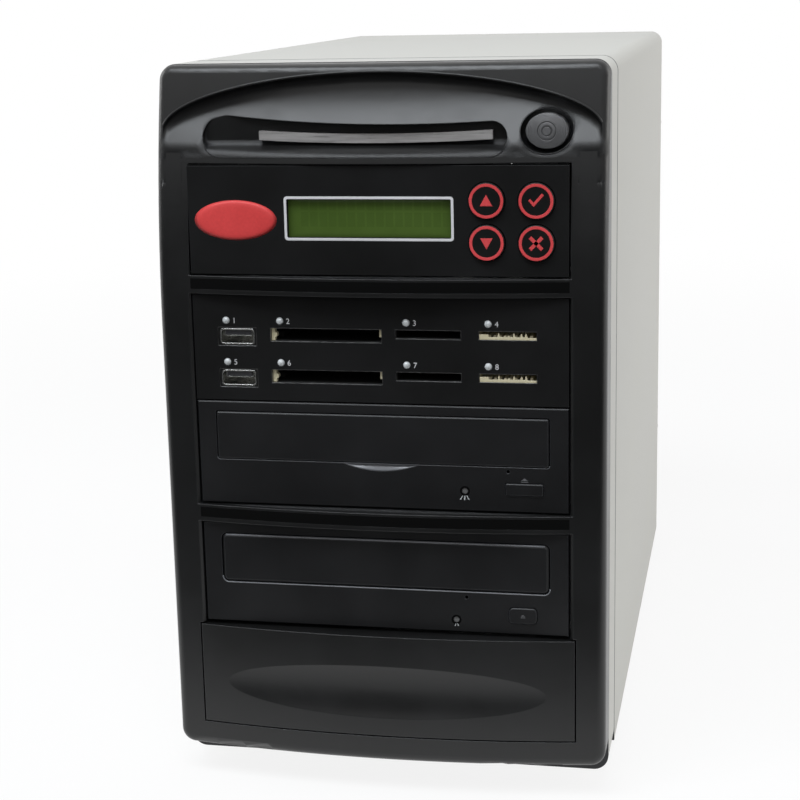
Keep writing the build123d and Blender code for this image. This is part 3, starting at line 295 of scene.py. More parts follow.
def addStage(look):
    half = look["floorHalf"]
    corners = [(-half, -half, 0), (half, -half, 0), (half, half, 0), (-half, half, 0)]
    mesh = bpy.data.meshes.new("floor")
    mesh.from_pydata(corners, [], [(0, 1, 2, 3)])
    floor = bpy.data.objects.new("floor", mesh)
    bpy.context.scene.collection.objects.link(floor)
    mesh.materials.append(paperMaterial(look))
    addWorld(look)


addCamera(shot)
addLamps(lamps)
addStage(stageLook)
bpy.context.scene.view_settings.view_transform = "Standard"
print("camera, lamps and floor are in")

# Shared effects as node groups

number, vector = "NodeSocketFloat", "NodeSocketVector"


# A node group with named inputs, their first values and typed outputs; returns it with its two end nodes.
def newGroup(name, inputs, outputs):
    group = bpy.data.node_groups.new(name, "ShaderNodeTree")
    for label, value in inputs.items():
        kind = vector if isinstance(value, tuple) else number
        socket = group.interface.new_socket(label, in_out="INPUT", socket_type=kind)
        socket.default_value = value
    for label, kind in outputs.items():
        group.interface.new_socket(label, in_out="OUTPUT", socket_type=kind)
    return group, group.nodes.new("NodeGroupInput"), group.nodes.new("NodeGroupOutput")


# Moulded or sprayed skin: fine grain as height, slow clouds as tone, soft corners and an edge mask.
def makeGrainGroup():
    group, start, end = newGroup(
        "mouldedSkin",
        {"Grain Scale": 1800.0, "Cloud Scale": 22.0, "Edge Radius": 0.0005},
        {"Height": number, "Tone": number, "Edge": number, "Normal": vector},
    )
    coords = objectCoords(group)
    fine = noiseNode(group, coords, start.outputs["Grain Scale"], 2.0)
    broad = noiseNode(group, coords, start.outputs["Cloud Scale"], 4.0, 0.6)
    flecks = mathNode(group, "MULTIPLY", mathNode(group, "SUBTRACT", fine, 0.5), 0.5)
    rounded = bevelNode(group, start.outputs["Edge Radius"])
    flat = group.nodes.new("ShaderNodeNewGeometry").outputs["Normal"]
    edge = rangeNode(group, vectorNode(group, "DOT_PRODUCT", rounded, flat), 0.995, 0.80)
    group.links.new(fine, end.inputs["Height"])
    group.links.new(mathNode(group, "ADD", broad, flecks), end.inputs["Tone"])
    group.links.new(edge, end.inputs["Edge"])
    group.links.new(rounded, end.inputs["Normal"])
    return group


# Rolled or drawn metal: streaks along one axis, spangle patches and soft corners.
def makeMetalGroup():
    group, start, end = newGroup(
        "rolledMetal",
        {"Streak Stretch": (1.0, 1.0, 1.0), "Streak Scale": 900.0, "Spangle Scale": 120.0},
        {"Height": number, "Tone": number, "Normal": vector},
    )
    coords = objectCoords(group)
    stretched = vectorNode(group, "MULTIPLY", coords, start.outputs["Streak Stretch"])
    streaks = noiseNode(group, stretched, start.outputs["Streak Scale"], 2.0)
    cells = group.nodes.new("ShaderNodeTexVoronoi")
    group.links.new(coords, cells.inputs["Vector"])
    group.links.new(start.outputs["Spangle Scale"], cells.inputs["Scale"])
    patch = group.nodes.new("ShaderNodeSeparateColor")
    group.links.new(cells.outputs["Color"], patch.inputs[0])
    lines = mathNode(group, "MULTIPLY", streaks, 0.6)
    patches = mathNode(group, "MULTIPLY", patch.outputs[0], 0.4)
    group.links.new(streaks, end.inputs["Height"])
    group.links.new(mathNode(group, "ADD", lines, patches), end.inputs["Tone"])
    group.links.new(bevelNode(group, 0.0003), end.inputs["Normal"])
    return group


skinGroup = makeGrainGroup()
metalGroup = makeMetalGroup()


# Materials

toneSpan = (0.25, 0.75)  # where a noise has nearly all its values


def startMaterial(name):
    paint = bpy.data.materials.new(name)
    paint.use_nodes = True
    tree = paint.node_tree
    shader = next(n for n in tree.nodes if n.type == "BSDF_PRINCIPLED")
    return paint, tree, shader


def bumpInto(tree, shader, height, normal, strength, distance):
    bump = tree.nodes.new("ShaderNodeBump")
    bump.inputs["Strength"].default_value = strength
    bump.inputs["Distance"].default_value = distance
    tree.links.new(height, bump.inputs["Height"])
    if normal is not None:
        tree.links.new(normal, bump.inputs["Normal"])
    tree.links.new(bump.outputs[0], shader.inputs["Normal"])


def roughInto(tree, shader, factor, low, high):
    tree.links.new(rangeNode(tree, factor, *toneSpan, low, high), shader.inputs["Roughness"])


# One within half of a depth of the drawing, zero elsewhere: where two painted sheets meet, and where painted
# shadow goes.
def seamMask(tree, middle, half):
    y = splitAxes(tree, objectCoords(tree))[1]
    away = mathNode(tree, "ABSOLUTE", mathNode(tree, "SUBTRACT", y, (middle - middleY) * mm))
    return mathNode(tree, "LESS_THAN", away, half * mm)


# Corner radius that grows from the plain one to a wide one on the rim of the head's hollow:
# the depth behind the bowed and leaning front and the ellipse's own radius say where that rim is.
def hollowRadius(tree, look, plain):
    def calc(operation, *values):
        return mathNode(tree, operation, *values)

    def squared(value):
        return calc("MULTIPLY", value, value)

    x, y, z = splitAxes(tree, objectCoords(tree))
    rise = calc("MAXIMUM", calc("SUBTRACT", z, look["leanStart"] * mm), 0.0)
    lean = calc("MULTIPLY", squared(rise), 0.5 / (look["leanRadius"] * mm))
    bow = calc("MULTIPLY", squared(x), 0.5 / (look["bowRadius"] * mm))
    front = calc("ADD", calc("ADD", lean, bow), (look["front"] - middleY) * mm)
    across = calc("DIVIDE", x, look["half"][0] * mm)
    upward = calc("DIVIDE", calc("SUBTRACT", z, look["middle"] * mm), look["half"][1] * mm)
    reach = calc("SQRT", calc("ADD", squared(across), squared(upward)))
    ring = rangeNode(tree, reach, *look["ring"], smooth=True)
    shallow, deep = look["depth"]
    inside = rangeNode(tree, calc("SUBTRACT", y, front), shallow * mm, deep * mm, smooth=True)
    creaseZ, near, far = look["crease"]
    crease = calc("ABSOLUTE", calc("SUBTRACT", z, creaseZ * mm))
    soft = rangeNode(tree, crease, far * mm, near * mm, smooth=True)
    mask = calc("MAXIMUM", calc("MULTIPLY", ring, inside), soft)
    return calc("ADD", calc("MULTIPLY", mask, look["radius"] * mm - plain), plain)


skinDefaults = {"grain": 1800.0, "cloud": 22.0, "corner": 0.0004, "rubAndHighlightShare": 0.5, "bump": 0.25, "depth": 0.00005,
                "specular": 0.5, "shadowSeams": ()}


# Plastic, rubber or paint with its grain, clouding, soft corners, rubbed edges lightened partly as wear and
# partly as a painted edge highlight, and seams darkened as painted shadow.
def skinMaterial(name, finishLook):
    look = {**skinDefaults, **finishLook}
    paint, tree, shader = startMaterial(name)
    skin = tree.nodes.new("ShaderNodeGroup")
    skin.node_tree = skinGroup
    skin.inputs["Grain Scale"].default_value = look["grain"]
    skin.inputs["Cloud Scale"].default_value = look["cloud"]
    skin.inputs["Edge Radius"].default_value = look["corner"]
    if "hollow" in look:
        tree.links.new(hollowRadius(tree, look["hollow"], look["corner"]), skin.inputs["Edge Radius"])
    colour = rampNode(tree, skin.outputs["Tone"], [(0.3, look["dark"]), (0.7, look["light"])])
    # Painted shadow: bands round the seams are darkened to stand for the shade in and beside the gaps.
    for middle, half in look["shadowSeams"]:
        colour = mixColours(tree, seamMask(tree, middle, half), colour, look["seamShade"])
    # Edges lightened: partly real wear, partly a painted edge highlight.
    if "rubAndHighlight" in look:
        rubAndHighlight = mathNode(tree, "MULTIPLY", skin.outputs["Edge"], look["rubAndHighlightShare"])
        colour = mixColours(tree, rubAndHighlight, colour, look["rubAndHighlight"])
    tree.links.new(colour, shader.inputs["Base Color"])
    roughInto(tree, shader, skin.outputs["Tone"], *look["rough"])
    bumpInto(tree, shader, skin.outputs["Height"], skin.outputs["Normal"], look["bump"], look["depth"])
    shader.inputs["Specular IOR Level"].default_value = look["specular"]
    if "coat" in look:
        shader.inputs["Coat Weight"].default_value = look["coat"]
        shader.inputs["Coat Roughness"].default_value = 0.12
    if "clear" in look:
        shader.inputs["Transmission Weight"].default_value = look["clear"]
    return paint


metalDefaults = {
    "stretch": (1.0, 0.06, 1.0), "streak": 900.0, "spangle": 120.0, "bump": 0.12, "depth": 0.00004,
}


# Plated, drawn or polished metal.
def metalMaterial(name, finishLook):
    look = {**metalDefaults, **finishLook}
    paint, tree, shader = startMaterial(name)
    metal = tree.nodes.new("ShaderNodeGroup")
    metal.node_tree = metalGroup
    metal.inputs["Streak Stretch"].default_value = look["stretch"]
    metal.inputs["Streak Scale"].default_value = look["streak"]
    metal.inputs["Spangle Scale"].default_value = look["spangle"]
    colour = rampNode(tree, metal.outputs["Tone"], [(0.2, look["dark"]), (0.8, look["light"])])
    tree.links.new(colour, shader.inputs["Base Color"])
    shader.inputs["Metallic"].default_value = 1.0
    roughInto(tree, shader, metal.outputs["Tone"], *look["rough"])
    bumpInto(tree, shader, metal.outputs["Height"], metal.outputs["Normal"], look["bump"], look["depth"])
    return paint


# The bezel's bowed and leaning front, and the hollow in its head.
hollow = {
    "front": -6.5, "bowRadius": 531.8, "leanStart": 189.8, "leanRadius": 400.0,
    "half": (87.0, 21.7), "middle": 267.5, "plane": 5.0, "draft": 25.0,
    "ring": (0.74, 0.88), "depth": (1.2, 3.0), "radius": 4.5, "crease": (259.8, 1.5, 5.0),
    "floor": ((247.0, -4.75), (254.0, -3.3), (259.0, -1.2), (269.0, 4.4), (278.0, 9.2), (284.5, 11.4)),
}
skins = {
    # rubAndHighlight colours lighten edges: partly wear, partly a painted edge highlight.
    "bezel_plastic": {
        "dark": 0.0075, "light": (0.0110, 0.0112, 0.0115), "rubAndHighlight": (0.06, 0.062, 0.07), "rubAndHighlightShare": 0.35,
        "rough": (0.28, 0.36), "grain": 2600.0, "cloud": 30.0, "bump": 0.30, "depth": 0.00004,
        "corner": 0.0005, "hollow": hollow,
    },
    "case_paint": {
        "dark": (0.50, 0.495, 0.465), "light": (0.54, 0.535, 0.50), "rough": (0.42, 0.52), "grain": 1500.0,
        # Painted shadow at the cover's front seam and at the bezel's back edge.
        "shadowSeams": ((46.7, 1.35), (17.5, 0.9)), "seamShade": (0.022, 0.022, 0.024),
        "cloud": 9.0, "bump": 0.22, "depth": 0.00006, "corner": 0.0005, "specular": 0.4,
    },
    "foot_rubber": {"dark": 0.012, "light": 0.022, "rough": (0.7, 0.85), "grain": 1200.0, "specular": 0.3},
    "inner_plastic": {"dark": 0.012, "light": (0.022, 0.022, 0.023), "rough": (0.42, 0.55), "grain": 1700.0},
    # Painted highlight: a grey far lighter than the drive plastic, for the finger scoop and the door edges
    # that catch the light.
    "scoop_plastic": {
        "dark": (0.10, 0.105, 0.115), "light": (0.15, 0.155, 0.17), "rough": (0.25, 0.35), "grain": 2400.0,
        "specular": 0.9,
    },
    "tongue_plastic": {"dark": (0.035, 0.035, 0.04), "light": (0.06, 0.06, 0.065), "rough": (0.3, 0.45)},
    "lens_grey": {"dark": 0.10, "light": 0.17, "rough": (0.12, 0.2), "grain": 900.0, "coat": 0.6},
    # Near-black and rough: painted shade for the rib grooves, the gap over the panel and the lamp wells.
    "groove_black": {"dark": 0.001, "light": 0.002, "rough": (0.8, 0.95), "grain": 1500.0, "specular": 0.1},
    # Its rubAndHighlight edge colour is partly wear, partly a painted edge highlight.
    "panel_black": {
        "dark": 0.006, "light": (0.010, 0.010, 0.0105), "rough": (0.50, 0.60), "grain": 3000.0, "bump": 0.2,
        "specular": 0.18, "rubAndHighlight": (0.05, 0.05, 0.055), "corner": 0.0003,
    },
    "board_green": {
        "dark": (0.010, 0.11, 0.035), "light": (0.020, 0.17, 0.06), "rough": (0.25, 0.4), "grain": 900.0,
    },
    "key_black": {
        "dark": 0.006, "light": 0.011, "rough": (0.3, 0.4), "grain": 2600.0, "specular": 0.3, "corner": 0.0005,
    },
    # Near-white: on the drive lamp glints it serves as a painted glint.
    "lamp_clear": {
        "dark": (0.66, 0.69, 0.70), "light": (0.84, 0.87, 0.88), "rough": (0.18, 0.3), "grain": 900.0,
        "clear": 0.2, "coat": 0.5,
    },
    "socket_black": {"dark": 0.006, "light": 0.012, "rough": (0.45, 0.6), "grain": 2200.0, "specular": 0.25},
    "socket_cream": {
        "dark": (0.58, 0.52, 0.34), "light": (0.74, 0.68, 0.48), "rough": (0.35, 0.5), "grain": 1600.0,
    },
    # Its rubAndHighlight edge colour is partly wear, partly a painted edge highlight.
    "drive_plastic": {
        "dark": (0.0085, 0.0085, 0.009), "light": (0.0135, 0.0135, 0.0145), "rubAndHighlight": (0.07, 0.075, 0.085),
        "rubAndHighlightShare": 0.55, "rough": (0.30, 0.40), "grain": 2400.0, "bump": 0.35, "specular": 0.45, "corner": 0.0005,
    },
    "rotor_grey": {"dark": 0.09, "light": 0.14, "rough": (0.4, 0.55), "grain": 1400.0},
    # Its rubAndHighlight edge colour is partly wear, partly a painted edge highlight.
    "tray_plastic": {
        "dark": 0.012, "light": (0.020, 0.020, 0.021), "rubAndHighlight": (0.06, 0.06, 0.065), "rubAndHighlightShare": 0.4,
        "rough": (0.38, 0.5), "grain": 1900.0, "bump": 0.35,
    },
    "gear_white": {
        "dark": (0.70, 0.70, 0.67), "light": (0.82, 0.82, 0.79), "rough": (0.35, 0.5), "grain": 1200.0,
    },
    "rocker_plastic": {"dark": 0.010, "light": 0.016, "rough": (0.15, 0.25), "grain": 1200.0, "coat": 0.4},
    "display_green": {
        "dark": (0.020, 0.021, 0.020), "light": (0.035, 0.036, 0.034), "rough": (0.35, 0.5), "grain": 900.0,
    },
}
metals = {
    "zinc_steel": {
        "dark": (0.50, 0.51, 0.52), "light": (0.66, 0.67, 0.68), "rough": (0.30, 0.42), "spangle": 90.0,
    },
    "plated_screw": {
        "dark": (0.52, 0.52, 0.51), "light": (0.70, 0.70, 0.69), "rough": (0.18, 0.28), "spangle": 700.0,
    },
    "spring_steel": {"dark": 0.42, "light": 0.60, "rough": (0.22, 0.32)},
    "port_steel": {
        "dark": (0.60, 0.60, 0.58), "light": (0.78, 0.78, 0.75), "rough": (0.18, 0.28), "spangle": 500.0,
    },
    "guard_chrome": {"dark": 0.62, "light": 0.80, "rough": (0.10, 0.18), "spangle": 400.0},
}
finish = {name: skinMaterial(name, look) for name, look in skins.items()}
finish.update({name: metalMaterial(name, look) for name, look in metals.items()})


# Cloudy acrylic with long streaks.
def stripMaterial(look):
    paint, tree, shader = startMaterial("clear_acrylic")
    scaling = tree.nodes.new("ShaderNodeMapping")
    scaling.inputs["Scale"].default_value = look["streaks"]
    tree.links.new(objectCoords(tree), scaling.inputs[0])
    streaks = noiseNode(tree, scaling.outputs[0], 1.0, 4.0, 0.6)
    colour = rampNode(tree, streaks, [(0.3, look["dark"]), (0.7, look["light"])])
    tree.links.new(colour, shader.inputs["Base Color"])
    roughInto(tree, shader, streaks, *look["rough"])
    bumpInto(tree, shader, streaks, None, 0.2, 0.00008)
    shader.inputs["Transmission Weight"].default_value = look["clear"]
    return paint


# Dark cap with fine turned rings round its own centre: the height follows the sine of the radius.
def turnedMaterial(look):
    paint, tree, shader = startMaterial("button_plastic")
    coords = objectCoords(tree)
    centre = place((look["centre"][0], 0.0, look["centre"][1]))
    centring = tree.nodes.new("ShaderNodeMapping")
    centring.vector_type = "POINT"
    centring.inputs["Location"].default_value = (-centre[0], 0.0, -centre[2])
    centring.inputs["Scale"].default_value = (1.0, 0.0, 1.0)
    tree.links.new(coords, centring.inputs[0])
    radius = vectorNode(tree, "LENGTH", centring.outputs[0])
    wave = mathNode(tree, "SINE", mathNode(tree, "MULTIPLY", radius, 2 * math.pi / (look["pitch"] * mm)))
    grain = noiseNode(tree, coords, 2400.0)
    height = mathNode(tree, "ADD", wave, mathNode(tree, "MULTIPLY", grain, 0.6))
    tone = mathNode(tree, "ADD", mathNode(tree, "MULTIPLY", wave, 0.18), grain)
    colour = rampNode(tree, tone, [(0.3, look["dark"]), (0.7, look["light"])])
    tree.links.new(colour, shader.inputs["Base Color"])
    roughInto(tree, shader, grain, *look["rough"])
    shader.inputs["Metallic"].default_value = look["metallic"]
    bumpInto(tree, shader, height, bevelNode(tree, 0.0004), 0.5, 0.00003)
    return paint


finish["clear_acrylic"] = stripMaterial({
    "dark": (0.26, 0.25, 0.245), "light": (0.46, 0.445, 0.435), "rough": (0.22, 0.4), "clear": 0.15,
    "streaks": (60.0, 900.0, 900.0),
})
finish["button_plastic"] = turnedMaterial({
    "centre": (65.0, panelTop + 12.1), "pitch": 0.60, "rough": (0.26, 0.36), "metallic": 0.35,
    "dark": (0.085, 0.085, 0.088), "light": (0.26, 0.26, 0.265),
})

for row in frame["record"]["subparts"]:
    node = frame["nodes"][row["node"]]
    node.data.materials.clear()
    node.data.materials.append(finish[row["material_slot"]])
frame["nodes"]["drive_lamps"].data.materials[0] = finish["lens_grey"]
print("materials:", len(finish))

# Pieces worked out with numpy


# Quads of a grid of points; a wrapped direction joins its end to its start.
def gridFaces(rows, columns, wrapRows=False, wrapColumns=False):
    i = np.arange(rows if wrapRows else rows - 1)
    j = np.arange(columns if wrapColumns else columns - 1)
    i, j = np.meshgrid(i, j, indexing="ij")
    ni, nj = (i + 1) % rows, (j + 1) % columns
    quads = np.stack([i * columns + j, ni * columns + j, ni * columns + nj, i * columns + nj], axis=-1)
    return [tuple(quad) for quad in quads.reshape(-1, 4).tolist()]


# Several (points, faces) pairs as one.
def joinParts(parts):
    points, quads, base = [], [], 0
    for somePoints, someQuads in parts:
        points.append(somePoints)
        quads += [tuple(corner + base for corner in quad) for quad in someQuads]
        base += len(somePoints)
    return np.concatenate(points), quads


# A piece from (points, faces) pairs in drawing millimetres; doubles merge and normals turn outwards.
def addPiece(name, parts, body, material, smooth=True):
    points, quads = joinParts(parts)
    mesh = bpy.data.meshes.new(name)
    mesh.from_pydata(place(points).tolist(), [], quads)
    work = bmesh.new()
    work.from_mesh(mesh)
    bmesh.ops.remove_doubles(work, verts=work.verts, dist=1e-7)
    bmesh.ops.recalc_face_normals(work, faces=work.faces)
    work.to_mesh(mesh)
    work.free()
    mesh.polygons.foreach_set("use_smooth", np.full(len(mesh.polygons), smooth))
    mesh.materials.append(material)
    piece = bpy.data.objects.new(name, mesh)
    bpy.context.scene.collection.objects.link(piece)
    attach(piece, body)
    return piece


# A flat printed line: a rectangle profile carried round the space between two outlines.
def raisedLoop(outer, inner, yFront, yBack):
    n = len(outer)
    loops = [(outer, yBack), (outer, yFront), (inner, yFront), (inner, yBack)]
    grid = np.stack([np.column_stack([o[:, 0], np.full(n, y), o[:, 1]]) for o, y in loops])
    return grid.reshape(-1, 3), gridFaces(4, n, True, True)


# A flat printed patch: the outline at two depths, closed in front and behind.
def raisedFace(outline, yFront, yBack):
    n = len(outline)
    sides = [np.column_stack([outline[:, 0], np.full(n, y), outline[:, 1]]) for y in (yFront, yBack)]
    return np.concatenate(sides), gridFaces(2, n, False, True) + [tuple(range(n)), tuple(range(n, 2 * n))]


# Points of an arc: centre plus radius times (cos t, sin t), from the first angle to the last.
def arcPoints(x, z, radius, first, last, steps):
    t = np.linspace(first, last, steps)
    return np.column_stack([x + radius * np.cos(t), z + radius * np.sin(t)])


# Points at x + r cos t, z + r sin t.
def circle(x, z, radius, steps):
    t = np.linspace(0, 2 * np.pi, steps, endpoint=False)
    return np.column_stack([x + radius * np.cos(t), z + radius * np.sin(t)])


# A rectangle whose corners are quarter circles, as points anticlockwise.
def roundedOutline(left, right, low, high, corner, steps=6):
    near, far = low + corner, high - corner
    centres = [(right - corner, far), (left + corner, far), (left + corner, near), (right - corner, near)]
    quarter = np.pi / 2
    return np.concatenate(
        [arcPoints(x, z, corner, k * quarter, (k + 1) * quarter, steps) for k, (x, z) in enumerate(centres)]
    )


# The outline of a box drawn in by one distance on all sides.
def insetOutline(left, right, low, high, inset, corner):
    return roundedOutline(left + inset, right - inset, low + inset, high - inset, corner)


ink = {"rough": (0.4, 0.5), "grain": 1500.0, "specular": 0.3}
printRed = skinMaterial(
    "printRed", {**ink, "dark": (0.66, 0.058, 0.062), "light": (0.80, 0.085, 0.095), "rough": (0.35, 0.5)}
)
printWhite = skinMaterial("printWhite", {**ink, "dark": (0.68, 0.68, 0.70), "light": (0.80, 0.80, 0.82)})
printGrey = skinMaterial("printGrey", {**ink, "dark": (0.10, 0.10, 0.105), "light": (0.16, 0.16, 0.165)})

keys = {
    "columns": (43.0, 61.8), "drops": (13.2, 29.1),
    "names": (("key_up", "key_down"), ("key_enter", "key_escape")),
    "face": -1.5, "ringOuter": 6.55, "ringWidth": 1.15, "ink": (0.06, 0.005),
    "arrow": (2.4, 1.9), "cross": (2.3, 0.5),
    "tick": ((-2.9, 0.2), (-0.9, -2.2), (3.0, 2.2), (2.2, 2.9), (-0.9, -0.6), (-2.2, 0.9)),
}


# The sign in a key's middle, as outlines: arrows up and down, a tick and a cross.
def keyMark(kind, x, z):
    half, foot = keys["arrow"]
    arrow = np.array([(-half, -foot), (half, -foot), (0.0, half)])
    if kind == "key_up":
        return [arrow + (x, z)]
    if kind == "key_down":
        return [arrow * -1 + (x, z)]
    if kind == "key_enter":
        return [np.array(keys["tick"]) + (x, z)]
    a, b = keys["cross"]
    bar = np.array([(-a - b, -a + b), (-a + b, -a - b), (a + b, a - b), (a - b, a + b)])
    return [bar + (x, z), bar * (-1, 1) + (x, z)]


inkFront, inkBack = (keys["face"] - step for step in keys["ink"])
for x, names in zip(keys["columns"], keys["names"]):
    for drop, name in zip(keys["drops"], names):
        z = panelTop - drop
        ringInner = keys["ringOuter"] - keys["ringWidth"]
        ring = raisedLoop(circle(x, z, keys["ringOuter"], 96), circle(x, z, ringInner, 96), inkFront, inkBack)
        marks = [raisedFace(outline, inkFront, inkBack) for outline in keyMark(name, x, z)]
        addPiece(name + "_print", [ring] + marks, name, printRed, smooth=False)
print("key prints are on")

# Heights here count down from the panel's top.
display = {
    "frame": (-35.7, 30.4, -28.7, -11.7), "line": 1.05, "corners": (1.3, 0.55), "ink": (0.07, 0.003),
    "window": (-34.7, 29.4, -27.7, -12.7), "inset": 0.1, "depth": 2.1, "fall": 0.35,
    "cells": (16, 2), "cell": (2.95, 5.55), "first": (-29.6, -17.2), "pitch": (3.7, 6.4),
}
left, right, low, high = display["frame"]
edges = (left, right, low + panelTop, high + panelTop)
outer = insetOutline(*edges, 0.0, display["corners"][0])
inner = insetOutline(*edges, display["line"], display["corners"][1])
inkFront, inkBack = display["ink"]
border = raisedLoop(outer, inner, -inkFront, -inkBack)
addPiece("display_border", [border], "tower", printWhite, smooth=False)


# Green liquid crystal glass with its faint grid of character cells.
def displayMaterial(look):
    paint, tree, shader = startMaterial("displayGlass")
    coords = objectCoords(tree)
    x, _, z = splitAxes(tree, coords)
    masks = []
    for axis, (first, pitch, wide, count) in zip((x, z), look["grid"]):
        along = mathNode(tree, "DIVIDE", mathNode(tree, "SUBTRACT", axis, first * mm), pitch * mm)
        inside = mathNode(tree, "LESS_THAN", mathNode(tree, "FRACT", along), wide / pitch)
        started = mathNode(tree, "GREATER_THAN", along, 0.0)
        ended = mathNode(tree, "LESS_THAN", along, float(count))
        masks.append(mathNode(tree, "MULTIPLY", mathNode(tree, "MULTIPLY", inside, started), ended))
    cells = mathNode(tree, "MULTIPLY", *masks)
    clouds = noiseNode(tree, coords, 60.0, 4.0, 0.6)
    base = rampNode(tree, clouds, [(0.3, look["dark"]), (0.7, look["light"])])
    shown = mathNode(tree, "MULTIPLY", cells, look["cellShare"])
    tree.links.new(mixColours(tree, shown, base, look["cell"]), shader.inputs["Base Color"])
    roughInto(tree, shader, clouds, *look["rough"])
    bumpInto(tree, shader, noiseNode(tree, coords, 1500.0), None, 0.05, 0.00002)
    shader.inputs["Specular IOR Level"].default_value = look["specular"]
    return paint


firstX, firstZ = display["first"]
pitchX, pitchZ = display["pitch"]
(cellWide, cellTall), (across, down) = display["cell"], display["cells"]
displayLook = {
    "grid": [(firstX, pitchX, cellWide, across), (panelTop + firstZ - pitchZ, pitchZ, cellTall, down)],
    "dark": (0.066, 0.115, 0.021), "light": (0.082, 0.140, 0.027), "cell": (0.050, 0.090, 0.017),
    "cellShare": 0.35, "rough": (0.12, 0.2), "specular": 0.35,
}
left, right, low, high = display["window"]
inset = display["inset"]
left, right, low, high = left + inset, right - inset, low + panelTop + inset, high + panelTop - inset
u, v = np.meshgrid(np.linspace(0, 1, 41), np.linspace(0, 1, 21), indexing="ij")
# Glass: a flat plate whose rim falls back, by fall times the tenth power of the larger of |2u-1| and |2v-1|.
rim = np.maximum(np.abs(2 * u - 1), np.abs(2 * v - 1)) ** 10
depth = display["depth"] + display["fall"] * rim
grid = np.stack([left + u * (right - left), depth, low + v * (high - low)], axis=-1)
glass = (grid.reshape(-1, 3), gridFaces(41, 21))
addPiece("display_face", [glass], "tower", displayMaterial(displayLook))

badge = {
    "centre": (-55.15, -20.95), "half": (16.45, 7.75), "dome": 0.35, "lift": 0.002, "rings": 13, "steps": 96,
}
rings, steps = badge["rings"], badge["steps"]
(centreX, centreZ), (halfX, halfZ) = badge["centre"], badge["half"]
r, t = np.meshgrid(np.linspace(0, 1, rings), np.linspace(0, 2 * np.pi, steps, endpoint=False), indexing="ij")
# Badge: an oval pad, x and z on ellipses of share r, proud by dome * (1 - r^6).
y = -badge["dome"] * (1 - r**6) - badge["lift"]
grid = np.stack([centreX + halfX * r * np.cos(t), y, panelTop + centreZ + halfZ * r * np.sin(t)], axis=-1)
back = tuple(range((rings - 1) * steps, rings * steps))
pad = (grid.reshape(-1, 3), gridFaces(rings, steps, False, True) + [back])
badgeRed = skinMaterial("badgeRed", {
    "dark": (0.70, 0.060, 0.060), "light": (0.80, 0.075, 0.075), "rough": (0.28, 0.38), "grain": 900.0,
    "cloud": 40.0, "coat": 0.2, "specular": 0.3,
})
addPiece("badge_oval", [pad], "tower", badgeRed)
print("display and badge are on")

# Card panel: numbers beside the lamps and a steel rim round each mouth (left end, width, height)
cards = {
    "top": 203.8, "rowDrop": 12.8, "rowPitch": 16.6, "lampDrop": 10.2, "lamps": (-60.8, -39.1, 11.1, 43.0),
    "mouths": ((-64.4, 15.9, 7.6), (-43.1, 44.7, 5.6), (6.7, 25.9, 3.8), (39.2, 22.7, 3.7)),
    "rim": (0.05, 0.22), "rimCorners": (0.35, 0.15), "rimDepth": (0.12, 2.4),
    "numberSize": 3.1, "numberGap": 2.6, "numberDrop": 0.1, "numberInk": (-0.06, 0.057),
}
rowTops = [cards["top"] - cards["rowDrop"] - cards["rowPitch"] * row for row in range(2)]


# Words as points and faces, standing in the panel's plane.
def textPart(words, size, x, z, yFront, depth):
    curve = bpy.data.curves.new("words", "FONT")
    curve.body = words
    curve.size = size
    curve.extrude = depth / 2
    curve.align_x = "LEFT"
    curve.align_y = "CENTER"
    holder = bpy.data.objects.new("words", curve)
    bpy.context.scene.collection.objects.link(holder)
    bpy.context.view_layer.update()
    mesh = bpy.data.meshes.new_from_object(holder)
    flat = np.zeros(len(mesh.vertices) * 3)
    mesh.vertices.foreach_get("co", flat)
    flat = flat.reshape(-1, 3)
    points = np.column_stack([flat[:, 0] + x, yFront + depth / 2 - flat[:, 2], flat[:, 1] + z])
    quads = [tuple(p.vertices) for p in mesh.polygons]
    bpy.data.objects.remove(holder)
    bpy.data.curves.remove(curve)
    bpy.data.meshes.remove(mesh)
    return points, quads


numbers, rims = [], []
rimOut, rimIn = cards["rim"]
cornerOut, cornerIn = cards["rimCorners"]
for row, top in enumerate(rowTops):
    numberZ = top + cards["rowDrop"] - cards["lampDrop"] - cards["numberDrop"]
    for column, x in enumerate(cards["lamps"]):
        words = str(4 * row + column + 1)
        numberX = x + cards["numberGap"]
        numbers.append(textPart(words, cards["numberSize"], numberX, numberZ, *cards["numberInk"]))
    for start, width, height in cards["mouths"]:
        mouth = (start, start + width, top - height, top)
        outer, inner = insetOutline(*mouth, rimOut, cornerOut), insetOutline(*mouth, rimIn, cornerIn)
        rims.append(raisedLoop(outer, inner, *cards["rimDepth"]))
addPiece("lamp_numbers", numbers, "tower", printWhite, smooth=False)
rimSteel = metalMaterial("rimSteel", {"dark": 0.16, "light": 0.30, "rough": (0.3, 0.45), "spangle": 500.0})
addPiece("socket_rims", rims, "tower", rimSteel, smooth=False)
print("card panel is dressed")

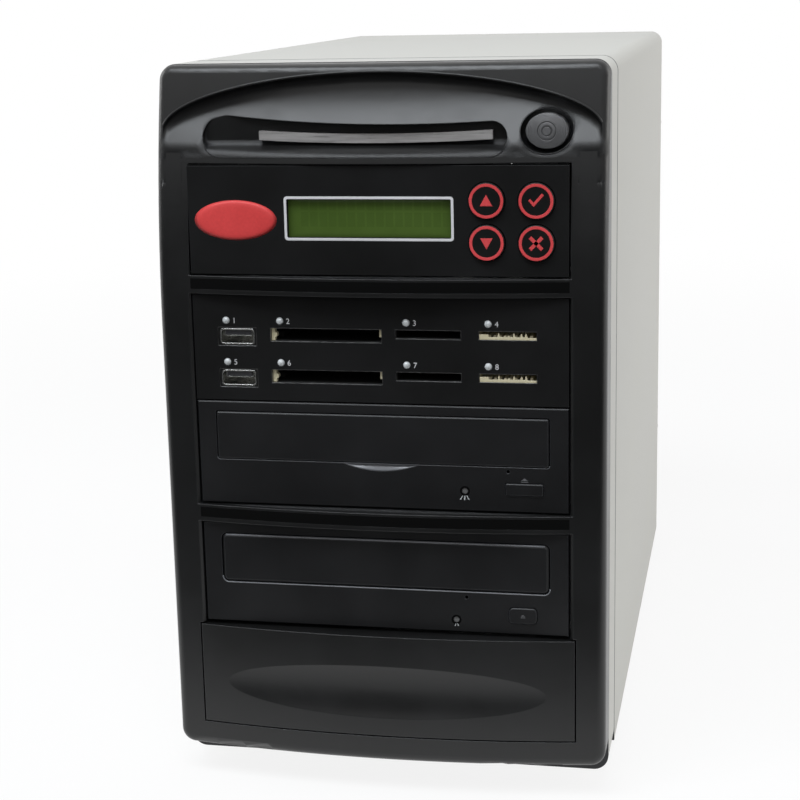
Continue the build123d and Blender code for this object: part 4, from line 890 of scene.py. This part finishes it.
# A port's face: black plate, bright rounded steel mouth and grey tongue, all inside the opening.
# The wide mouth has cream guides at both ends, and the stick mouth a cream comb with its teeth.
ports = {
    "inset": 0.3, "steel": ((1.0, 0.9), (0.6, 0.7)), "steelWidth": 0.5, "corner": 1.5, "innerShare": 0.7,
    "tongue": (3.0, 13.2, 1.5, 3.2), "plateDepth": (0.28, 0.38), "mouthDepth": (0.16, 0.38),
    "tongueDepth": (1.2, 1.95), "guideDepth": (1.6, 4.0), "combDepth": (0.6, 1.1),
    "guideLeft": (
        (0.3, -5.3), (1.7, -5.3), (1.7, -4.1), (2.5, -3.7), (2.5, -2.4), (1.7, -2.0), (1.7, -0.4), (0.3, -0.4),
    ),
    "guideRight": ((-1.3, -3.4), (-0.3, -3.4), (-0.3, -0.4), (-1.3, -0.4)),
    "teeth": ((7.8, 2.8), (10.2, 1.6), (11.6, 1.8), (13.7, 2.7), (16.6, 2.5), (18.3, 2.7)),
}
portStart, portWidth, portHeight = cards["mouths"][0]
wideStart, wideWidth, _ = cards["mouths"][1]
stickStart = cards["mouths"][3][0]
(leftIn, rightIn), (topIn, lowIn) = ports["steel"]
wall, corner = ports["steelWidth"], ports["corner"]
comb = [(0.3, -3.5), (22.4, -3.5), (22.4, -2.6), (19.4, -2.6)]
for where, tall in reversed(ports["teeth"]):
    tip = tall - 3.6
    comb += [(where + 0.45, -2.4), (where + 0.15, tip), (where - 0.15, tip), (where - 0.45, -2.4)]
comb += [(6.8, -2.5), (3.9, -2.5), (3.9, -1.5), (0.3, -1.5)]
plates, mouths, tongues, guides, combs = [], [], [], [], []
for top in rowTops:
    opening = (portStart, portStart + portWidth, top - portHeight, top)
    edge = insetOutline(*opening, ports["inset"], ports["inset"])
    steel = (portStart + leftIn, portStart + portWidth - rightIn, top - portHeight + lowIn, top - topIn)
    mouth = insetOutline(*steel, 0.0, corner)
    inside = insetOutline(*steel, wall, corner - wall * ports["innerShare"])
    plates.append(raisedLoop(edge, mouth, *ports["plateDepth"]))
    mouths.append(raisedLoop(mouth, inside, *ports["mouthDepth"]))
    first, last, high, low = ports["tongue"]
    tongue = roundedOutline(portStart + first, portStart + last, top - low, top - high, 0.2)
    tongues.append(raisedFace(tongue, *ports["tongueDepth"]))
    for outline, x in ((ports["guideLeft"], wideStart), (ports["guideRight"], wideStart + wideWidth)):
        guides.append(raisedFace(np.array(outline) + (x, top), *ports["guideDepth"]))
    combs.append(raisedFace(np.array(comb) + (stickStart, top), *ports["combDepth"]))
for name, parts, slotName, look in (
    ("port_plates", plates, "socket_black", finish["socket_black"]),
    ("port_mouths", mouths, "port_steel", finish["port_steel"]),
    ("port_tongues", tongues, "socket_black", finish["tongue_plastic"]),
    ("wide_guides", guides, "socket_cream", finish["socket_cream"]),
    ("stick_combs", combs, "socket_cream", finish["socket_cream"]),
):
    addPiece(name, parts, "tower", look, smooth=False)
print("ports, guides and combs are in")


# Depth of the bezel's front: a lean that starts part way up and a bow to both sides, both circles.
def frontDepth(x, z):
    rise = np.maximum(z - hollow["leanStart"], 0.0)
    lean = hollow["leanRadius"] - np.sqrt(hollow["leanRadius"] ** 2 - rise**2)
    return hollow["front"] + lean + bowDepth(x)


def bowDepth(x):
    return hollow["bowRadius"] - np.sqrt(hollow["bowRadius"] ** 2 - x**2)


# Depth of the head's skin: the hollow's floor where that lies behind the front.
def headDepth(x, z):
    heights, depths = np.array(hollow["floor"]).T
    return np.maximum(frontDepth(x, z), np.interp(z, heights, depths) + bowDepth(x))


# A strip of the bezel's front, proud of it by a little but never past its foremost line.
def frontStrip(left, right, low, high, columns, rows, proud=0.03):
    u, v = np.meshgrid(np.linspace(left, right, columns), np.linspace(low, high, rows), indexing="ij")
    grid = np.stack([u, np.maximum(frontDepth(u, v) - proud, hollow["front"]), v], axis=-1)
    return grid.reshape(-1, 3), gridFaces(columns, rows)


# A round bead on a path: centre plus radius times (side cos t + outward sin t), closed by its own ends.
def bead(path, radius, steps=10, closed=False):
    path = np.asarray(path, float)
    if closed:
        along = np.roll(path, -1, 0) - np.roll(path, 1, 0)
    else:
        along = np.gradient(path, axis=0)
    along /= np.linalg.norm(along, axis=1, keepdims=True)
    side = np.cross(along, np.array([0.0, 1.0, 0.0]))
    side /= np.linalg.norm(side, axis=1, keepdims=True)
    outward = np.cross(side, along)
    t = np.linspace(0, 2 * np.pi, steps, endpoint=False)
    profile = side[:, None] * np.cos(t)[:, None] + outward[:, None] * np.sin(t)[:, None]
    grid = path[:, None] + radius * profile
    count = len(path)
    quads = gridFaces(count, steps, closed, True)
    if not closed:
        quads += [tuple(range(steps)), tuple(range((count - 1) * steps, count * steps))]
    return grid.reshape(-1, 3), quads


bezelPaint = finish["bezel_plastic"]

# The brow's raised edge: the hollow's ellipse, widened by its draft until it meets the front's depth.
brow = {"radius": 0.55, "sunk": 0.25, "arc": (4.0, 176.0), "steps": 161, "rounds": 8}
t = np.radians(np.linspace(*brow["arc"], brow["steps"]))
spread, depth = math.tan(math.radians(hollow["draft"])), np.zeros(brow["steps"])
for _ in range(brow["rounds"]):
    grow = (hollow["plane"] - depth) * spread
    x = (hollow["half"][0] + grow) * np.cos(t)
    z = hollow["middle"] + (hollow["half"][1] + grow) * np.sin(t)
    depth = frontDepth(x, z)
edge = bead(np.column_stack([x, depth + brow["sunk"], z]), brow["radius"])
addPiece("brow_edge", [edge], "tower", bezelPaint)

# Rims of the smile slot's lower half and of the power well, on the head's skin.
rimLook = {
    "slot": (-69.0, 50.5, 257.0), "ends": (7.8, 6.45), "arcSteps": 25, "lipSteps": 40,
    "well": (65.0, 266.1, 10.1, 8.35), "wellSteps": 72, "radius": 0.3, "sunk": 0.15,
}


def headRim(x, z, closed):
    return bead(np.column_stack([x, headDepth(x, z) + rimLook["sunk"], z]), rimLook["radius"], closed=closed)


slotLeft, slotRight, slotLow = rimLook["slot"]
leftEnd, rightEnd = rimLook["ends"]
arcSteps, lipSteps = rimLook["arcSteps"], rimLook["lipSteps"]
lipX = np.linspace(slotLeft + leftEnd, slotRight - rightEnd, lipSteps)[1:-1]
lip = np.concatenate([
    arcPoints(slotLeft + leftEnd, slotLow + leftEnd, leftEnd, np.pi, 1.5 * np.pi, arcSteps),
    np.column_stack([lipX, np.full(len(lipX), slotLow)]),
    arcPoints(slotRight - rightEnd, slotLow + rightEnd, rightEnd, 1.5 * np.pi, 2 * np.pi, arcSteps),
])
wellX, wellZ, wellHalf, wellRise = rimLook["well"]
t = np.linspace(0, 2 * np.pi, rimLook["wellSteps"], endpoint=False)
wellRim = headRim(wellX + wellHalf * np.cos(t), wellZ + wellRise * np.sin(t), True)
addPiece("head_rims", [headRim(lip[:, 0], lip[:, 1], False), wellRim], "tower", bezelPaint)

# Painted shade: a flush near-black strip that follows the bow, standing for the shadow deep in the grooves
# between the ribs.
grooves = {"half": 74.3, "under": 1.7, "over": 2.4}
lowDrive = [corner * 1000 for corner in (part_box("drive_2_mask")[1][2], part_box("drive_1_mask")[0][2])]
upCards = [corner * 1000 for corner in (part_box("card_panel")[1][2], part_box("control_panel")[0][2])]
half = grooves["half"]
strips = [frontStrip(-half, half, low + grooves["over"], high - grooves["under"], 61, 5)
          for low, high in (upCards, lowDrive)]
addPiece("rib_groove_shade", strips, "tower", finish["groove_black"])
print("brow, rims and grooves are on")

# Drives: finger scoop and door edges in a grey lighter than the drive plastic as painted highlight, painted
# shade round the lamps with painted glints below them, and eject signs
drives = {
    "doorHalf": 66.2, "drops": (4.4, 4.8), "heights": (19.1, 19.9), "corners": (0.7, 2.2), "gap": 0.4,
    "proud": 0.5, "scoop": (15.2, 2.9, 1.55), "scoopFall": 1.2, "scoopBack": 0.03, "scoopUnder": 0.02,
    "sillRadii": (0.14, 0.3), "sillSunk": 0.35, "sillUnder": 0.6,
    "topRadius": 0.4, "topUnder": 0.35, "topEnds": 1.6, "topSunk": 0.22,
}
# Painted highlight: the scoop and the door edges are coloured lighter than the drive plastic.
paintedHighlight = finish["scoop_plastic"]
tops = [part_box("drive_%d_mask" % n)[1][2] * 1000 for n in (1, 2)]
doors = zip(tops, drives["drops"], drives["heights"])
sills = [top - drop - tall - drives["gap"] for top, drop, tall in doors]
half, drop, deep = drives["scoop"]
u = np.linspace(-1, 1, 41)[:, None]
v = np.linspace(0, 1, 11)[None, :]
low = sills[0] - drop * (1 - u**2)
z = sills[0] * (1 - v) + low * v - drives["scoopUnder"]
# Scoop: a lens whose face runs from deep under the door to flush at its lower edge, as (1 - v) to a power.
face = np.stack([half * u + 0 * v, deep * (1 - v) ** drives["scoopFall"] + 0 * u, z], axis=-1)
back = np.stack([half * u + 0 * v, deep + drives["scoopBack"] + 0 * z, z], axis=-1)[:, ::-1]
grid = np.concatenate([face, back], axis=1)
scoop = (grid.reshape(-1, 3), gridFaces(41, 22, False, True))
addPiece("finger_scoop", [scoop], "tower", paintedHighlight)

edges = []
for low, doorCorner, radius in zip(sills, drives["corners"], drives["sillRadii"]):
    halfDoor, corner = drives["doorHalf"] + drives["gap"], doorCorner + drives["gap"]
    leftArc = arcPoints(-halfDoor + corner, low + corner, corner, np.pi, 1.5 * np.pi, 9)
    span = np.column_stack([np.linspace(-halfDoor + corner, halfDoor - corner, 30)[1:-1], np.full(28, low)])
    line = np.concatenate([leftArc, span, (leftArc * (-1, 1))[::-1]])
    depth = np.full(len(line), radius * drives["sillSunk"])
    edges.append(bead(np.column_stack([line[:, 0], depth, line[:, 1] - radius * drives["sillUnder"]]), radius))
addPiece("door_sill_edges", edges, "tower", paintedHighlight)
topEdge = tops[1] - drives["drops"][1] - drives["topUnder"]
halfEdge = drives["doorHalf"] - drives["topEnds"]
x = np.linspace(-halfEdge, halfEdge, 40)
depth = np.full(len(x), drives["topSunk"] - drives["proud"])
edge = bead(np.column_stack([x, depth, np.full(len(x), topEdge)]), drives["topRadius"])
addPiece("door_top_edge", [edge], "drive_2_tray", paintedHighlight)

# wellShadeRing: radii of a flat near-black ring of painted shade round each lamp.
signs = {
    "lamps": ((33.3, 33.9), (29.2, 36.9)), "wellShadeRing": (2.0, 1.25), "wellShadeDepth": (-0.03, 0.02),
    # Painted glints: flat bright strokes under each lamp, standing for its reflection.
    "glints": (
        ((-1.35, -2.7, 0.5), (-0.1, -2.8, 0.1), (1.15, -2.7, -0.45)),
        ((-0.4, -2.2, 0.2), (0.6, -2.1, -0.2)),
    ),
    "glintHalf": ((0.32, 0.85), (0.22, 0.5)), "glintTop": 0.6, "glintDepth": (-0.06, 0.0),
    "eject": ((56.7, 29.3, 1.45), (55.85, 34.3, 0.9)), "ejectInk": 0.04,
}


# The eject sign in front of one depth: a low triangle over a bar, as patches of one width.
def ejectSign(x, z, wide, depth):
    bar = np.array([(-wide, -0.5), (wide, -0.5), (wide, -0.2), (-wide, -0.2)])
    triangle = np.array([(-wide, 0.15), (wide, 0.15), (0.0, 0.15 + 0.75 * wide)])
    return [raisedFace(outline + (x, z), depth - signs["ejectInk"], depth) for outline in (bar, triangle)]


wellShades, glints = [], []
wellOut, wellIn = signs["wellShadeRing"]
for index, (x, drop) in enumerate(signs["lamps"]):
    z = tops[index] - drop
    # Painted shade: a flat near-black ring stands for the shadow in the lamp's well.
    wellShades.append(raisedLoop(circle(x, z, wellOut, 48), circle(x, z, wellIn, 48), *signs["wellShadeDepth"]))
    across, tall = signs["glintHalf"][index]
    for shiftX, shiftZ, slant in signs["glints"][index]:
        wide = across * signs["glintTop"]
        foot = ((-across - slant, -tall), (across - slant, -tall))
        head = ((wide + slant, tall), (slant - wide, tall))
        glints.append(raisedFace(np.array(foot + head) + (x + shiftX, z + shiftZ), *signs["glintDepth"]))
addPiece("drive_lamp_well_shade", wellShades, "tower", finish["groove_black"], smooth=False)
# Painted glints under the lamps.
addPiece("drive_lamp_glints", glints, "tower", finish["lamp_clear"], smooth=False)
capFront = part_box("drive_2_eject")[0][1] * 1000 + middleY
for index, (name, body, depth) in enumerate((
    ("drive_1_eject_sign", "tower", 0.0),
    ("drive_2_eject_sign", "drive_2_eject", capFront),
)):
    x, drop, wide = signs["eject"][index]
    sign = ejectSign(x, tops[index] - drop, wide, depth)
    addPiece(name, sign, body, printGrey, smooth=False)
print("drives are dressed")

# Skin over the cheeks' upper ends and above the controls, where the moulding's wall is thinnest.
skinPatches = ((-84.0, -77.5, 238.0, 258.6), (77.5, 84.0, 238.0, 258.6), (-77.5, 77.5, 254.9, 256.5))
patches = [frontStrip(*patch, 31, 25) for patch in skinPatches]
addPiece("bezel_skin", patches, "tower", bezelPaint)

# Painted shade: a near-black strip in the gap over the control panel, standing for its shadow.
gapShade = {"half": 74.0, "heights": (254.02, 254.46), "depth": (0.9, 1.6)}
low, high = gapShade["heights"]
outline = np.array([(-gapShade["half"], low), (gapShade["half"], low), (gapShade["half"], high), (-gapShade["half"], high)])
strip = raisedFace(outline, *gapShade["depth"])
addPiece("panel_gap_shade", [strip], "tower", finish["groove_black"], smooth=False)

# The button's spring: a helix, x and z turning while y runs from flange to switch.
coil = {"radius": 4.8, "wire": 0.4, "turns": 4, "keep": 0.68, "steps": 161, "sides": 8}
springBox = np.array(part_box("button_spring")) * 1000
springFront, springBack = springBox[0][1] + middleY, springBox[1][1] + middleY
u = np.linspace(0, 1, coil["steps"])
turn = 2 * np.pi * coil["turns"] * u
y = springFront + coil["wire"] + u * (springBack - springFront - 2 * coil["wire"])
path = np.column_stack([wellX + coil["radius"] * np.cos(turn), y, wellZ + coil["radius"] * np.sin(turn)])
helix = bead(path, coil["wire"], coil["sides"])
spring = addPiece("button_spring_coil", [helix], "tower", finish["spring_steel"])
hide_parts("button_spring")
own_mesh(spring)
print("skin and spring are in")
